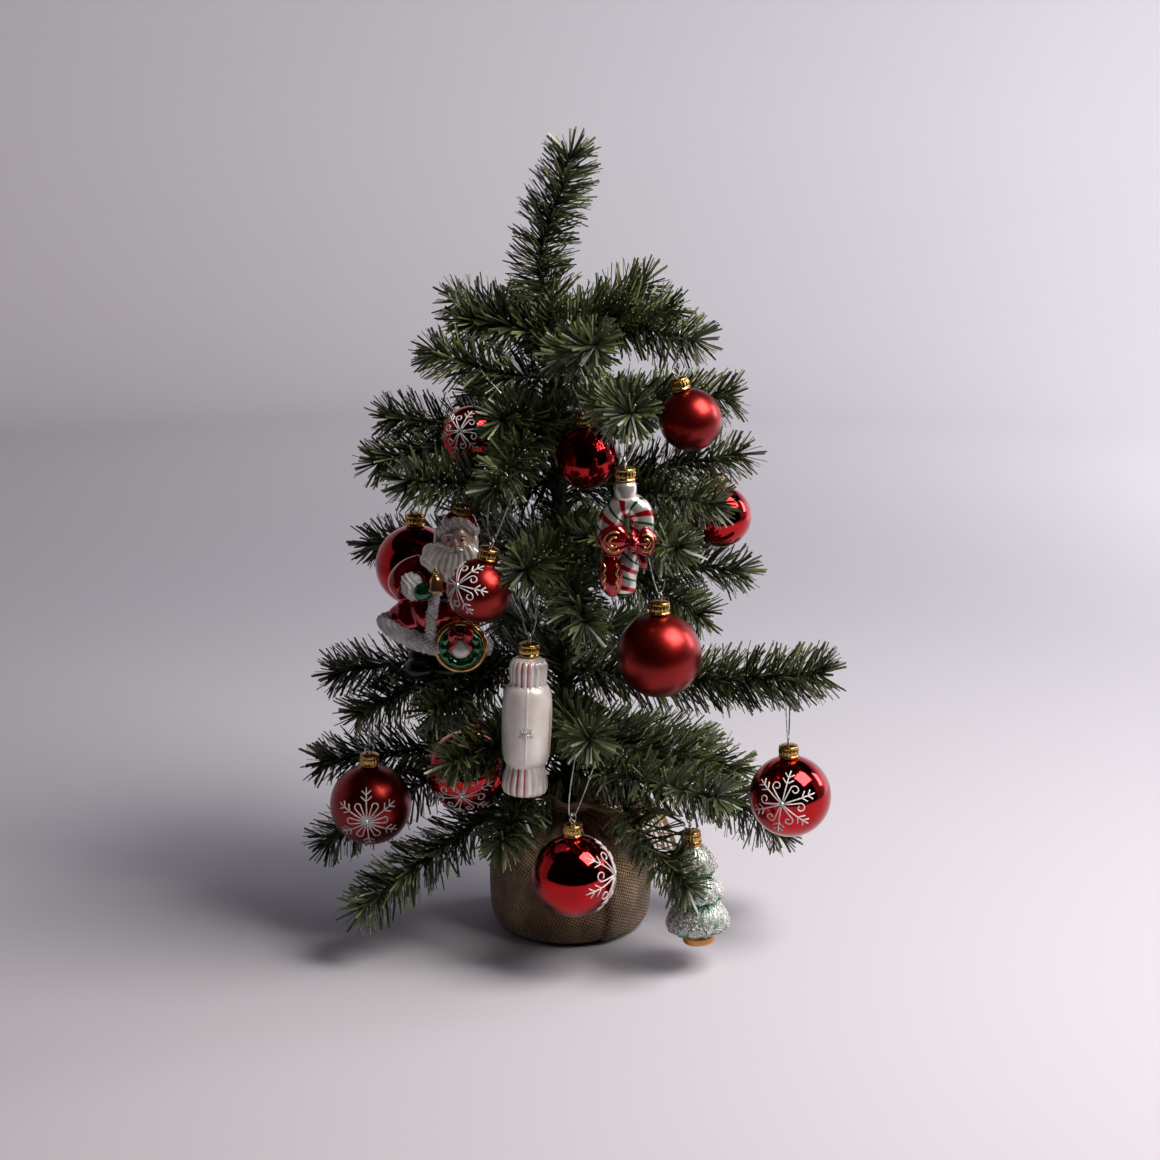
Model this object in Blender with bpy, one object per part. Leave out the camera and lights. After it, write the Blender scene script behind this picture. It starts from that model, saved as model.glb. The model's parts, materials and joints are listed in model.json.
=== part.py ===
"""A 600 mm artificial tabletop tree with fifteen hanging glass ornaments.

Sizes are in millimetres here and become metres when the meshes are made. X is
right, Y is back, Z is up, and the origin is the centre of the sack's underside.
Every branch is a twisted-wire stem with a slim foliage core; it turns at its
root on the trunk. Every ornament is a glass body and a cap with its wire hook.
"""

import math

import bpy
import numpy as np

MM = 0.001

# ---- driving dimensions ----
TREE_HEIGHT = 592.0  # tip of the leader's core
TRUNK_R = 6.3
TRUNK_BOTTOM = 16.0
TRUNK_STRAIGHT_TO = 76.0  # the trunk stands upright in the weight, then leans
TRUNK_TOP = 462.0
TRUNK_LEAN = 0.031  # sideways run per unit of height
BASE_R = 62.0  # the sack's belly
SHOULDER_Z = 66.0
NECK_Z = 91.0
NECK_R = 11.5
CLOTH = 1.5
WIRE_R = 1.7  # a branch's bare wire at its root
CORE_R = 4.2  # a branch's foliage core
ROOT_GAP = 0.6
LARGE_R = 30.0  # the large baubles
SMALL_R = 22.5
GLASS = 0.9
NECK_GLASS_R = 5.0
CAP_R = 7.5
CAP_TOP = 10.5  # above the shoulder of the glass
HOOK_WIRE_R = 0.75
HOOK_BEND_R = CORE_R + 2.4

# ---- branches: root height, then one arm or more ----
# An arm is (tip, control offset from its middle, where it leaves the first arm).
BRANCHES = {
    "branch_01": (448, [((-84, 4, 458), (0, 0, 4), 0), ((-88, 46, 468), (0, 8, 4), 0.28)]),
    "branch_02": (418, [((-101, -16, 441), (0, 0, -10), 0)]),
    "branch_03": (452, [((60, 34, 484), (0, 0, 2), 0), ((78, 0, 466), (0, 0, 0), 0.25), ((95, -24, 446), (4, -4, 2), 0.22)]),
    "branch_04": (434, [((20, -95, 455), (0, 0, -4), 0)]),
    "branch_05": (440, [((-38, 88, 462), (0, 0, 4), 0), ((48, 90, 452), (6, 6, 2), 0.2)]),
    "branch_06": (372, [((-137, 16, 386), (0, 0, 2), 0), ((-147, 12, 351), (0, 0, 2), 0.22)]),
    "branch_07": (340, [((-118, -82, 358), (0, 0, 0), 0)]),
    "branch_08": (386, [((-50, -76, 399), (-2, 0, 4), 0), ((-52, -113, 356), (4, 0, 4), 0.25)]),
    "branch_09": (396, [((123, 8, 402), (0, 6, 2), 0), ((43, -123, 411), (6, -8, 3), 0.16)]),
    "branch_10": (332, [((129, 0, 362), (0, 4, 6), 0), ((108, -54, 335), (0, -6, 0), 0.2)]),
    "branch_11": (374, [((20, 126, 382), (0, 0, 6), 0), ((-78, 100, 392), (-8, 4, 4), 0.2), ((92, 84, 394), (8, 4, 4), 0.2)]),
    "branch_12": (286, [((-158, 80, 276), (0, 8, 4), 0)]),
    "branch_13": (288, [((-32, -113, 301), (0, 0, 4), 0), ((12, -118, 262), (4, 0, 2), 0.2)]),
    "branch_14": (276, [((131, 2, 273), (0, 2, 6), 0), ((101, -28, 244), (0, -2, 2), 0.22)]),
    "branch_15": (302, [((80, -108, 316), (0, 0, 2), 0)]),
    "branch_16": (284, [((14, 142, 276), (0, 0, 8), 0), ((-92, 110, 296), (-8, 4, 4), 0.18), ((112, 78, 290), (8, 4, 4), 0.18)]),
    "branch_17": (208, [((-179, -10, 198), (0, 4, 8), 0), ((-160, -40, 174), (0, 0, 4), 0.28), ((-102, -76, 186), (2, -2, 2), 0.2)]),
    "branch_18": (200, [((186, -58, 214), (0, 0, -14), 0)]),
    "branch_19": (166, [((16, -122, 182), (0, 0, 2), 0), ((-88, -104, 158), (0, -2, 4), 0.2)]),
    "branch_20": (204, [((-64, 136, 214), (0, 0, 6), 0), ((86, 122, 204), (8, 4, 4), 0.18)]),
    "branch_21": (140, [((-193, 12, 121), (0, 2, 8), 0), ((-190, 6, 58), (0, 0, 4), 0.25)]),
    "branch_22": (117, [((-155, -88, 40), (0, 0, 14), 0), ((-50, -88, 90), (0, 0, 6), 0.18)]),
    "branch_23": (150, [((164, 4, 66), (0, 2, 14), 0), ((134, 30, 108), (0, 2, 6), 0.25)]),
    "branch_24": (124, [((109, -111, 136), (0, 0, 2), 0), ((102, -130, 58), (-14, -22, 14), 0.22)]),
    "branch_25": (142, [((8, 138, 112), (0, 0, 10), 0), ((-108, 96, 118), (-6, 6, 8), 0.18), ((112, 88, 108), (6, 6, 8), 0.18)]),
}

# ---- ornaments: branch, arm, place along the arm, centre, way to the cap, shape ----
ORNAMENTS = {
    "bauble_01": ("branch_03", 2, 0.80, (86, -26, 391), (-18, 0), "small"),
    "bauble_02": ("branch_04", 0, 0.46, (12, -48, 368), (-3, 0), "small"),
    "cane": ("branch_09", 1, 0.82, (38, -104, 321), (0, 0), "cane"),
    "bauble_03": ("branch_10", 0, 0.78, (110, -4, 316), (-12, 0), "small"),
    "bauble_04": ("branch_15", 0, 0.78, (63, -85, 234), (0, 0), "large"),
    "bauble_05": ("branch_18", 0, 0.84, (161, -50, 117), (-3, 0), "large"),
    "snowy_tree": ("branch_24", 0, 0.80, (90, -89, 63), (-5, 0), "fir"),
    "bauble_06": ("branch_19", 0, 0.84, (3, -103, 76), (-1, 0), "large"),
    "candy": ("branch_13", 0, 0.82, (-30, -96, 188), (2, 0), "candy"),
    "bauble_07": ("branch_17", 1, 0.90, (-147, -37, 106), (0, 0), "large"),
    "bauble_08": ("branch_17", 2, 0.50, (-75, -44, 134), (12, 0), "large"),
    "santa": ("branch_07", 0, 0.66, (-90, -54, 272), (8, 0), "santa"),
    "bauble_09": ("branch_08", 1, 0.86, (-62, -98, 284), (14, 0), "small"),
    "bauble_10": ("branch_06", 1, 0.74, (-114, 9, 276), (0, 0), "large"),
    "bauble_11": ("branch_02", 0, 0.55, (-70, -24, 378), (62, 0), "small"),
}


def v(*a):
    return np.array(a, float)


def unit(a):
    return a / np.linalg.norm(a)


def trunk_at(z):
    return v(-TRUNK_LEAN * max(0.0, z - TRUNK_STRAIGHT_TO), 0, z)


def bezier(a, b, c, t):
    return (1 - t) ** 2 * a + 2 * t * (1 - t) * b + t * t * c


def arm_curve(start, tip, offset):
    """The three points of an arm's curve."""
    return start, (start + tip) / 2 + v(*offset), tip


def branch_root(name):
    """The root of a branch's wire, which is also its turning point."""
    height, arms = BRANCHES[name]
    axis = trunk_at(height)
    way = sum(unit((v(*tip) - axis) * v(1, 1, 0)) for tip, _, _ in arms)
    return axis + unit(way) * (TRUNK_R + ROOT_GAP + WIRE_R), unit(way)


def branch_curves(name):
    root, _ = branch_root(name)
    curves = []
    for tip, offset, leaves in BRANCHES[name][1]:
        start = bezier(*curves[0], leaves) if curves else root
        curves.append(arm_curve(start, v(*tip), offset))
    return curves


LEADER = [(0, 7.0), (-9, 34), (-3, 66), (9, 96), (16, TREE_HEIGHT - TRUNK_TOP)]


def leader_points():
    """An S from the top of the trunk to the tip of the tree."""
    top = trunk_at(TRUNK_TOP)
    lead = np.array([top + v(x, 0, z) for x, z in LEADER])
    at = np.linspace(0, len(lead) - 1, 11)
    fit = [np.polyfit(range(len(lead)), lead[:, k], 4) for k in range(3)]
    return np.stack([np.polyval(f, at) for f in fit], axis=1)


def hook_frame(name):
    """Where an ornament's hook crosses its branch, the branch's level way there and the way across it."""
    branch, arm, t, _, _, _ = ORNAMENTS[name]
    a, b, c = branch_curves(branch)[arm]
    p = bezier(a, b, c, t)
    along = unit((2 * (1 - t) * (b - a) + 2 * t * (c - b)) * v(1, 1, 0))
    return p, along, np.cross(v(0, 0, 1), along)


# ---- meshes ----
def make(name, points, faces):
    mesh = bpy.data.meshes.new(name)
    mesh.from_pydata([tuple(p * MM) for p in points], [], faces)
    mesh.validate()
    obj = bpy.data.objects.new(name, mesh)
    bpy.context.scene.collection.objects.link(obj)
    return obj


def rings_mesh(name, rings, first, last):
    """Closes a stack of equal rings with a point below the first and one above the last."""
    n = len(rings[0])
    points = [p for ring in rings for p in ring] + [first, last]
    low, high = len(points) - 2, len(points) - 1
    faces = [(low, (i + 1) % n, i) for i in range(n)]
    for r in range(len(rings) - 1):
        for i in range(n):
            j = (i + 1) % n
            faces.append((r * n + i, r * n + j, (r + 1) * n + j, (r + 1) * n + i))
    top = (len(rings) - 1) * n
    faces += [(high, top + i, top + (i + 1) % n) for i in range(n)]
    return make(name, points, faces)


def tube(name, path, radii, sides=6):
    """A closed tube along a path, with a blunt point at each end."""
    path = [np.array(p, float) for p in path]
    ways = [unit(path[min(i + 1, len(path) - 1)] - path[max(i - 1, 0)]) for i in range(len(path))]
    side = unit(np.cross(ways[0], v(0, 0, 1) if abs(ways[0][2]) < 0.9 else v(0, 1, 0)))
    rings = []
    for p, way, r in zip(path, ways, radii):
        side = unit(side - way * (side @ way))
        other = np.cross(way, side)
        turn = [2 * math.pi * k / sides for k in range(sides)]
        rings.append([p + r * (math.cos(a) * side + math.sin(a) * other) for a in turn])
    return rings_mesh(name, rings, path[0] - ways[0] * radii[0], path[-1] + ways[-1] * radii[-1])


def joined(name, objects):
    """One solid from overlapping ones."""
    body = objects[0]
    for other in objects[1:]:
        cut = body.modifiers.new("join", "BOOLEAN")
        cut.operation, cut.solver, cut.object = "UNION", "EXACT", other
    bpy.context.view_layer.update()
    graph = bpy.context.evaluated_depsgraph_get()
    mesh = bpy.data.meshes.new_from_object(body.evaluated_get(graph))
    for obj in objects:
        bpy.data.objects.remove(obj)
    obj = bpy.data.objects.new(name, mesh)
    bpy.context.scene.collection.objects.link(obj)
    return obj


def frame_of(axis):
    """Two ways square to an axis, the first one to the right."""
    right = unit(v(1, 0, 0) - axis * axis[0])
    return right, np.cross(axis, right)


def lathe_rings(profile, centre, axis, sides, squash=1.0):
    right, back = frame_of(axis)
    turns = [2 * math.pi * k / sides for k in range(sides)]
    return [
        [
            centre + axis * h + right * (x + r * math.cos(a)) + back * (r * squash * math.sin(a))
            for a in turns
        ]
        for r, h, x in profile
    ]


def inset(profile, wall):
    """The profile moved inwards by the wall, square to its own line."""
    line = np.array(profile, float)
    result = []
    for i, (r, h, x) in enumerate(profile):
        way = unit(line[min(i + 1, len(line) - 1)][:2] - line[max(i - 1, 0)][:2])
        result.append((r - wall * way[1], h + wall * way[0], x))
    return result


def shell(name, profile, centre, axis, sides=12, squash=1.0, wall=GLASS):
    """Blown glass, closed below and open at the neck. The profile runs up from near the bottom: (radius, height, sideways)."""
    low = profile[0][1] - 0.35 * profile[0][0]
    bottom = (0.0, low, profile[0][2])
    line = [bottom] + list(profile)
    inner = inset(line, wall)[1:]
    inner[-1] = (profile[-1][0] - wall, profile[-1][1], profile[-1][2])
    rings = lathe_rings(list(profile) + inner[::-1], centre, axis, sides, squash)
    right, _ = frame_of(axis)
    first = centre + axis * low + right * profile[0][2]
    return rings_mesh(name, rings, first, first + axis * wall)


def ball(r):
    rows = [(r * math.cos(math.radians(a)), r * math.sin(math.radians(a)), 0) for a in (-68, -45, -22, 0, 22, 45, 66)]
    return rows + [(NECK_GLASS_R, math.sqrt(r * r - NECK_GLASS_R**2) + 0.2, 0), (NECK_GLASS_R, r + 4.5, 0)]


def shoulder(profile):
    """The height where the cap sits."""
    return profile[-1][1] - 4.5


NECK = NECK_GLASS_R
SHAPES = {
    "small": (ball(SMALL_R), 1.0),
    "large": (ball(LARGE_R), 1.0),
    # A cane seen from its side: a leg below and a broad crook above.
    "cane": ([(7, -46, -4), (11.5, -42, -4), (12.5, -30, -4), (13.5, -16, -3), (18, -6, -1), (20, 6, 0), (20, 18, 0), (16, 30, 0), (9, 37, 0), (NECK, 40, 0), (NECK, 46, 0)], 0.62),
    "candy": ([(10, -52, 0), (15.5, -50, 0), (16.5, -42, 0), (13.5, -33, 0), (17, -29, 0), (18, -10, 0), (18, 10, 0), (16.5, 25, 0), (12.5, 29, 0), (13.5, 40, 0), (11, 46, 0), (NECK, 48, 0), (NECK, 53, 0)], 1.0),
    "fir": ([(9, -41, 0), (11, -39, 0), (12, -34, 0), (20, -31, 0), (21.5, -24, 0), (16.5, -13, 0), (19.5, -9, 0), (17, 2, 0), (13.5, 9, 0), (16, 13, 0), (12, 26, 0), (NECK, 31, 0), (NECK, 37, 0)], 1.0),
    "santa": ([(12, -62, -4), (15, -58, -4), (17, -46, -4), (27, -40, -4), (25, -20, -3), (24, 0, 0), (21, 18, 2), (17, 30, 5), (17, 40, 6), (13, 50, 6), (NECK, 55, 6), (NECK, 60, 6)], 0.66),
}


def place(name):
    _, _, _, centre, (tilt, nod), shape = ORNAMENTS[name]
    a, b = math.radians(tilt), math.radians(nod)
    axis = unit(v(math.sin(a), math.sin(b), math.cos(a)))
    profile, squash = SHAPES[shape]
    return v(*centre), axis, profile, squash


def make_glass(name):
    centre, axis, profile, squash = place(name)
    return shell(f"{name}_glass", profile, centre, axis, squash=squash)


def hook_path(name):
    """From inside the cap, up beside the branch and over it."""
    centre, axis, profile, _ = place(name)
    right, _ = frame_of(axis)
    top = centre + axis * (shoulder(profile) + CAP_TOP) + right * profile[-1][2]
    p, _, across = hook_frame(name)
    if across @ (top - p) < 0:
        across = -across
    path = [top - axis * 2.5, top + axis * 2.0, top + axis * 5.0]
    for a in (-25, 20, 65, 110, 155, 195):
        a = math.radians(a)
        path.append(p + HOOK_BEND_R * (math.cos(a) * across + math.sin(a) * v(0, 0, 1)))
    return path


def make_hanger(name):
    centre, axis, profile, _ = place(name)
    right, _ = frame_of(axis)
    centre = centre + right * profile[-1][2]
    low = shoulder(profile)
    cup = [(NECK_GLASS_R + 0.55, low + 5.0, 0), (NECK_GLASS_R + 0.55, low + 0.4, 0), (CAP_R, low + 0.4, 0), (CAP_R, low + CAP_TOP, 0)]
    rings = lathe_rings(cup, centre, axis, 10)
    cap = rings_mesh("cap", rings, centre + axis * (low + 5.0), centre + axis * (low + CAP_TOP))
    path = hook_path(name)
    wire = tube("wire", path, [HOOK_WIRE_R] * len(path), 5)
    return joined(f"{name}_hanger", [cap, wire])


def make_branch(name):
    parts = []
    for k, (a, b, c) in enumerate(branch_curves(name)):
        if k == 0:
            stops = [(0, WIRE_R), (0.10, WIRE_R), (0.17, CORE_R), (0.5, CORE_R), (0.82, CORE_R), (1, 2.0)]
        else:
            stops = [(0, 2.4), (0.16, CORE_R * 0.9), (0.5, CORE_R), (0.82, CORE_R * 0.9), (1, 2.0)]
        path = [bezier(a, b, c, t) for t, _ in stops]
        parts.append(tube(f"{name}_arm", path, [r for _, r in stops]))
    return joined(name, parts) if len(parts) > 1 else rename(parts[0], name)


def rename(obj, name):
    obj.name = name
    return obj


def make_leader():
    path = leader_points()
    radii = [WIRE_R, CORE_R] + [CORE_R] * (len(path) - 4) + [3.4, 2.0]
    return tube("leader", path, radii)


def sack_rings(shift):
    """The sack's rows of cloth, moved inwards by shift."""
    n = 28
    profile = [
        (BASE_R * 0.80, 0.0), (BASE_R * 0.93, 4.0), (BASE_R * 0.985, 16.0), (BASE_R, 34.0), (BASE_R * 0.985, 52.0),
        (BASE_R * 0.90, SHOULDER_Z), (BASE_R * 0.66, SHOULDER_Z + 12.0), (BASE_R * 0.36, NECK_Z - 8.0),
        (NECK_R, NECK_Z - 3.0), (NECK_R, NECK_Z + 3.0), (NECK_R + 9.0, NECK_Z + 7.0), (NECK_R + 21.0, NECK_Z + 11.0),
    ]
    line = np.array(profile)
    rings = []
    for i, (r, z) in enumerate(profile):
        way = unit(line[min(i + 1, len(line) - 1)] - line[max(i - 1, 0)])
        if i == 0:
            way = v(1, 0)
        ring = []
        for k in range(n):
            a = 2 * math.pi * k / n
            flap = math.exp(-((math.degrees((a + math.pi) % (2 * math.pi) - math.pi) + 12) / 34) ** 2)
            out = {len(profile) - 2: 16.0, len(profile) - 1: 38.0}.get(i, 0) * flap
            up = {len(profile) - 2: 1.0, len(profile) - 1: 4.0}.get(i, 0) * flap
            pleat = 0.8 * (k % 2) if i in (6, 7) else 0.0
            rr, zz = r + out - pleat - shift * way[1], z + up + shift * way[0]
            ring.append(v(rr * math.cos(a), rr * math.sin(a), zz))
        rings.append(ring)
    return rings


def make_sack():
    outer, inner = sack_rings(0), sack_rings(CLOTH)
    rings = outer + inner[::-1]
    return rings_mesh("burlap_sack", rings, v(0, 0, 0), v(0, 0, CLOTH))


def make_weight():
    n, bore = 24, TRUNK_R + 0.6
    skin = CLOTH + 1.0
    rows = [
        (BASE_R * 0.76, CLOTH + 0.5), (BASE_R * 0.93 - skin, 6.5), (BASE_R * 0.985 - skin, 17.0), (BASE_R - skin, 34.0),
        (BASE_R * 0.985 - skin, 46.0), (BASE_R * 0.88 - skin, SHOULDER_Z - 10), (BASE_R * 0.60, SHOULDER_Z - 5),
        (bore, SHOULDER_Z - 4), (bore, TRUNK_BOTTOM - 3),
    ]
    rings = lathe_rings([(r, z, 0) for r, z in rows], v(0, 0, 0), v(0, 0, 1), n)
    return rings_mesh("base_weight", rings, v(0, 0, CLOTH + 0.5), v(0, 0, TRUNK_BOTTOM - 3))


def make_trunk():
    heights = [TRUNK_BOTTOM + TRUNK_R, TRUNK_STRAIGHT_TO] + list(np.linspace(110, TRUNK_TOP - 2, 9))
    path = [trunk_at(z) for z in heights]
    radii = [TRUNK_R - 0.3] * 2 + [TRUNK_R - 0.1] * (len(path) - 3) + [TRUNK_R - 2.0]
    return tube("trunk_pole", path, radii, 8)


def make_tie():
    """Two turns of twine drawn as one ring about the sack's neck."""
    n, rings = 6, []
    turns = 18
    points, faces = [], []
    for k in range(turns):
        a = 2 * math.pi * k / turns
        out = v(math.cos(a), math.sin(a), 0)
        for j in range(n):
            b = 2 * math.pi * j / n
            points.append(out * (NECK_R + 2.4 + 1.7 * math.cos(b)) + v(0, 0, NECK_Z + 1.7 * math.sin(b)))
    for k in range(turns):
        for j in range(n):
            a, b = k * n + j, k * n + (j + 1) % n
            c, d = ((k + 1) % turns) * n + (j + 1) % n, ((k + 1) % turns) * n + j
            faces.append((a, d, c, b))
    return make("sack_tie", points, faces)


def main():
    for obj in list(bpy.data.objects):
        bpy.data.objects.remove(obj)
    make_weight()
    make_sack()
    make_tie()
    make_trunk()
    make_leader()
    for name in BRANCHES:
        make_branch(name)
    for name in ORNAMENTS:
        make_glass(name)
        make_hanger(name)


main()
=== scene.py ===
# %% [markdown]
# # A tabletop tree with hand-painted glass ornaments
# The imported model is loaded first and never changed. Every piece made here is
# placed from it, in the same frame: X is right, Y is back, Z is up. Sizes are
# written in millimetres and turned to metres when a mesh is made.

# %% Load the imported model
import json
import math

import bpy
import numpy as np
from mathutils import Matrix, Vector


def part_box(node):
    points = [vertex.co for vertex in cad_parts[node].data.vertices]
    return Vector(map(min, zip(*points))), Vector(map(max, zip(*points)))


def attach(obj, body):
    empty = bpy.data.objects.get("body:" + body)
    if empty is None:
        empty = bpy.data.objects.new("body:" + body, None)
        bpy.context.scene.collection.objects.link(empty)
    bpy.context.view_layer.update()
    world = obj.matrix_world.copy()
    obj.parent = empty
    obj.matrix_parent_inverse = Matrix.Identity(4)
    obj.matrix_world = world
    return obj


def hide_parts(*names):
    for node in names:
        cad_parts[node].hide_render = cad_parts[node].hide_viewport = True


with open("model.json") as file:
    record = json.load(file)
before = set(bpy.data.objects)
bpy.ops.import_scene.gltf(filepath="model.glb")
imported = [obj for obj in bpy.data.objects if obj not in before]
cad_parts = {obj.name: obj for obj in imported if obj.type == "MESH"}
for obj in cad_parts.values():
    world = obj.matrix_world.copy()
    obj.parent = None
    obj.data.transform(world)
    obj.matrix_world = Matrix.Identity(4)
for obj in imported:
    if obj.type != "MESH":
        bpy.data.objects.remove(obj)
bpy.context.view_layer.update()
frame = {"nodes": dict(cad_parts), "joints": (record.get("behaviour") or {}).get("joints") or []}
JOINTS = {joint["child"]: joint for joint in frame["joints"]}
MM = 0.001

# %% [markdown]
# ## The stage and the camera
# A pale sweep of card runs under and behind the tree and all round it, so that
# every side of the tree has the same quiet ground. A square soft light stands
# high on the right. Shiny balls show whatever faces them, and in a studio the
# side of the camera is dark, so the sweep is dark there for every ray but the
# camera's own.

# %% Camera
CAMERA_DISTANCE = 1600.0
CAMERA_DOWN = math.radians(14)
CAMERA_AIM = (7.4, 0.0, 267.0)

view = bpy.data.cameras.new("camera")
view.lens, view.sensor_width = 67.4, 36.0
camera = bpy.data.objects.new("camera", view)
bpy.context.scene.collection.objects.link(camera)
camera.location = (
    CAMERA_AIM[0] * MM,
    -CAMERA_DISTANCE * MM * math.cos(CAMERA_DOWN),
    (CAMERA_AIM[2] + CAMERA_DISTANCE * math.sin(CAMERA_DOWN)) * MM,
)
camera.rotation_euler = (math.pi / 2 - CAMERA_DOWN, 0, 0)
bpy.context.scene.camera = camera


# %% [markdown]
# ## Tools for shapes and finishes
# Three kinds of shape return again and again: a grid of quads, a tube along a
# line, and a smooth line through a few points. Modifiers could make them too,
# but points worked out in code land exactly where the model says. A finish is
# one Principled shader with a few nodes; most of them are one texture that
# mottles the colour, roughens it and raises a little relief.

# %% Helpers for points and meshes
def v(*numbers):
    return np.array(numbers, float)


def unit(way):
    way = np.asarray(way, float)
    return way / np.linalg.norm(way, axis=-1, keepdims=True)


def mesh_object(name, points, faces, finish, smooth=True):
    """A mesh from points in millimetres, with one finish."""
    mesh = bpy.data.meshes.new(name)
    mesh.from_pydata((np.asarray(points, float) * MM).tolist(), [], [list(map(int, f)) for f in faces])
    mesh.update()
    mesh.materials.append(finish)
    if smooth:
        mesh.shade_smooth()
    piece = bpy.data.objects.new(name, mesh)
    bpy.context.scene.collection.objects.link(piece)
    return piece


def grid_faces(rows, columns, closed=True, first=0):
    """Quads between rows of equal length; closed joins each row's end to its start."""
    faces = []
    for r in range(rows - 1):
        for c in range(columns if closed else columns - 1):
            d = (c + 1) % columns
            a = first + r * columns
            faces.append((a + c, a + d, a + columns + d, a + columns + c))
    return faces


# %% Closed skins and tubes
def skin_faces(rows, sides):
    """Faces of a closed skin: its rings, then a fan to each of the two end points that follow them."""
    first, last = rows * sides, (rows - 1) * sides
    faces = grid_faces(rows, sides)
    faces += [(first, (k + 1) % sides, k) for k in range(sides)]
    return faces + [(first + 1, last + k, last + (k + 1) % sides) for k in range(sides)]


def tube(path, radii, sides=8):
    """Points and faces of a closed tube along a path."""
    path = np.asarray(path, float)
    radii = np.broadcast_to(radii, len(path))
    ways = unit(np.gradient(path, axis=0))
    side = np.cross(ways[0], v(0, 0, 1) if abs(ways[0][2]) < 0.9 else v(0, 1, 0))
    points = []
    for p, way, r in zip(path, ways, radii):
        side = unit(side - way * (side @ way))
        other = np.cross(way, side)
        for k in range(sides):
            a = 2 * math.pi * k / sides
            points.append(p + r * (math.cos(a) * side + math.sin(a) * other))
    return points + [path[0], path[-1]], skin_faces(len(path), sides)


def gathered(parts):
    """Several (points, faces) as one."""
    points, faces = [], []
    for p, f in parts:
        shift = len(points)
        points += list(p)
        faces += [tuple(i + shift for i in face) for face in f]
    return points, faces


# %% Smooth lines
def smooth_path(points, steps=8):
    """A Catmull-Rom line through the points."""
    points = np.asarray(points, float)
    ends = np.vstack([2 * points[0] - points[1], points, 2 * points[-1] - points[-2]])
    line = []
    for i in range(len(points) - 1):
        a, b, c, d = ends[i : i + 4]
        for t in np.arange(steps) / steps:
            line.append(
                0.5 * (
                    2 * b + (c - a) * t + (
                        2 * a - 5 * b + 4 * c - d
                    ) * t**2 + (3 * b - a - 3 * c + d) * t**3
                )
            )
    return np.array(line + [points[-1]])


# %% Helpers for finishes
def srgb(code):
    """A hex colour as linear red, green, blue and alpha."""
    part = [int(code[i : i + 2], 16) / 255 for i in (1, 3, 5)]
    return tuple(c / 12.92 if c <= 0.04045 else ((c + 0.055) / 1.055) ** 2.4 for c in part) + (1.0,)


def node(tree, kind, inputs=None, stops=(), **settings):
    """One node: its settings, each input's value or the socket that feeds it, and the colours of its ramp."""
    made = tree.nodes.new(kind)
    for place, (position, code) in enumerate(stops):
        bar = made.color_ramp.elements
        stop = bar[place] if place < len(bar) else bar.new(position)
        stop.position, stop.color = position, srgb(code)
    for name, value in settings.items():
        setattr(made, name, value)
    for name, value in (inputs or {}).items():
        if isinstance(value, bpy.types.NodeSocket):
            tree.links.new(value, made.inputs[name])
        else:
            made.inputs[name].default_value = value
    return made


def finish(name, **sockets):
    """A Principled material; underscores in a socket's name stand for spaces."""
    made = bpy.data.materials.new(name)
    made.use_nodes = True
    shader = made.node_tree.nodes["Principled BSDF"]
    for socket, value in sockets.items():
        shader.inputs[socket.replace("_", " ")].default_value = value
    return made, made.node_tree, shader


def mottled(name, stops, mottle, relief=None, dull=None, **sockets):
    """A finish that a texture mottles, with colours from its stops.

    mottle is (texture, output, its inputs). relief is (a texture like mottle, strength, depth in metres), and
    dull is (a texture, least roughness, most roughness)."""
    made, tree, shader = finish(name, **sockets)
    where = node(tree, "ShaderNodeTexCoord").outputs["Object"]

    def texture(kind, output, inputs):
        return node(tree, kind, {"Vector": where, **inputs}).outputs[output]

    colour = node(tree, "ShaderNodeValToRGB", {"Fac": texture(*mottle)}, stops=stops)
    tree.links.new(colour.outputs["Color"], shader.inputs["Base Color"])
    if relief:
        bump = node(
            tree, "ShaderNodeBump",
            {"Height": texture(*relief[0]), "Strength": relief[1], "Distance": relief[2]}
        )
        tree.links.new(bump.outputs["Normal"], shader.inputs["Normal"])
    if dull:
        rough = node(
            tree, "ShaderNodeMapRange", {"Value": texture(*dull[0]), "To Min": dull[1], "To Max": dull[2]}
        )
        tree.links.new(rough.outputs["Result"], shader.inputs["Roughness"])
    return made


# %% The sweep
SWEEP_R = 2300.0  # how far the card lies flat
SWEEP_BEND = 500.0
SWEEP_TOP = 2200.0
DARK_FROM = -640.0  # the front edge of what the balls see as lit card
# Painted shade and light: the card is painted darker where the lamp is near and on the left, and paler on the
# right.
FLOOR_PAINTED_SHADE, WALL_LEFT_PAINTED_SHADE, WALL_RIGHT_PAINTED_LIGHT = "#bcbbc3", "#cac8cc", "#f0eff3"
FLOOR_TO = 900.0  # painted shade: the card is painted darker from the middle to here, where the lamp lights it most, and is at its palest at the bend


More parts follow.
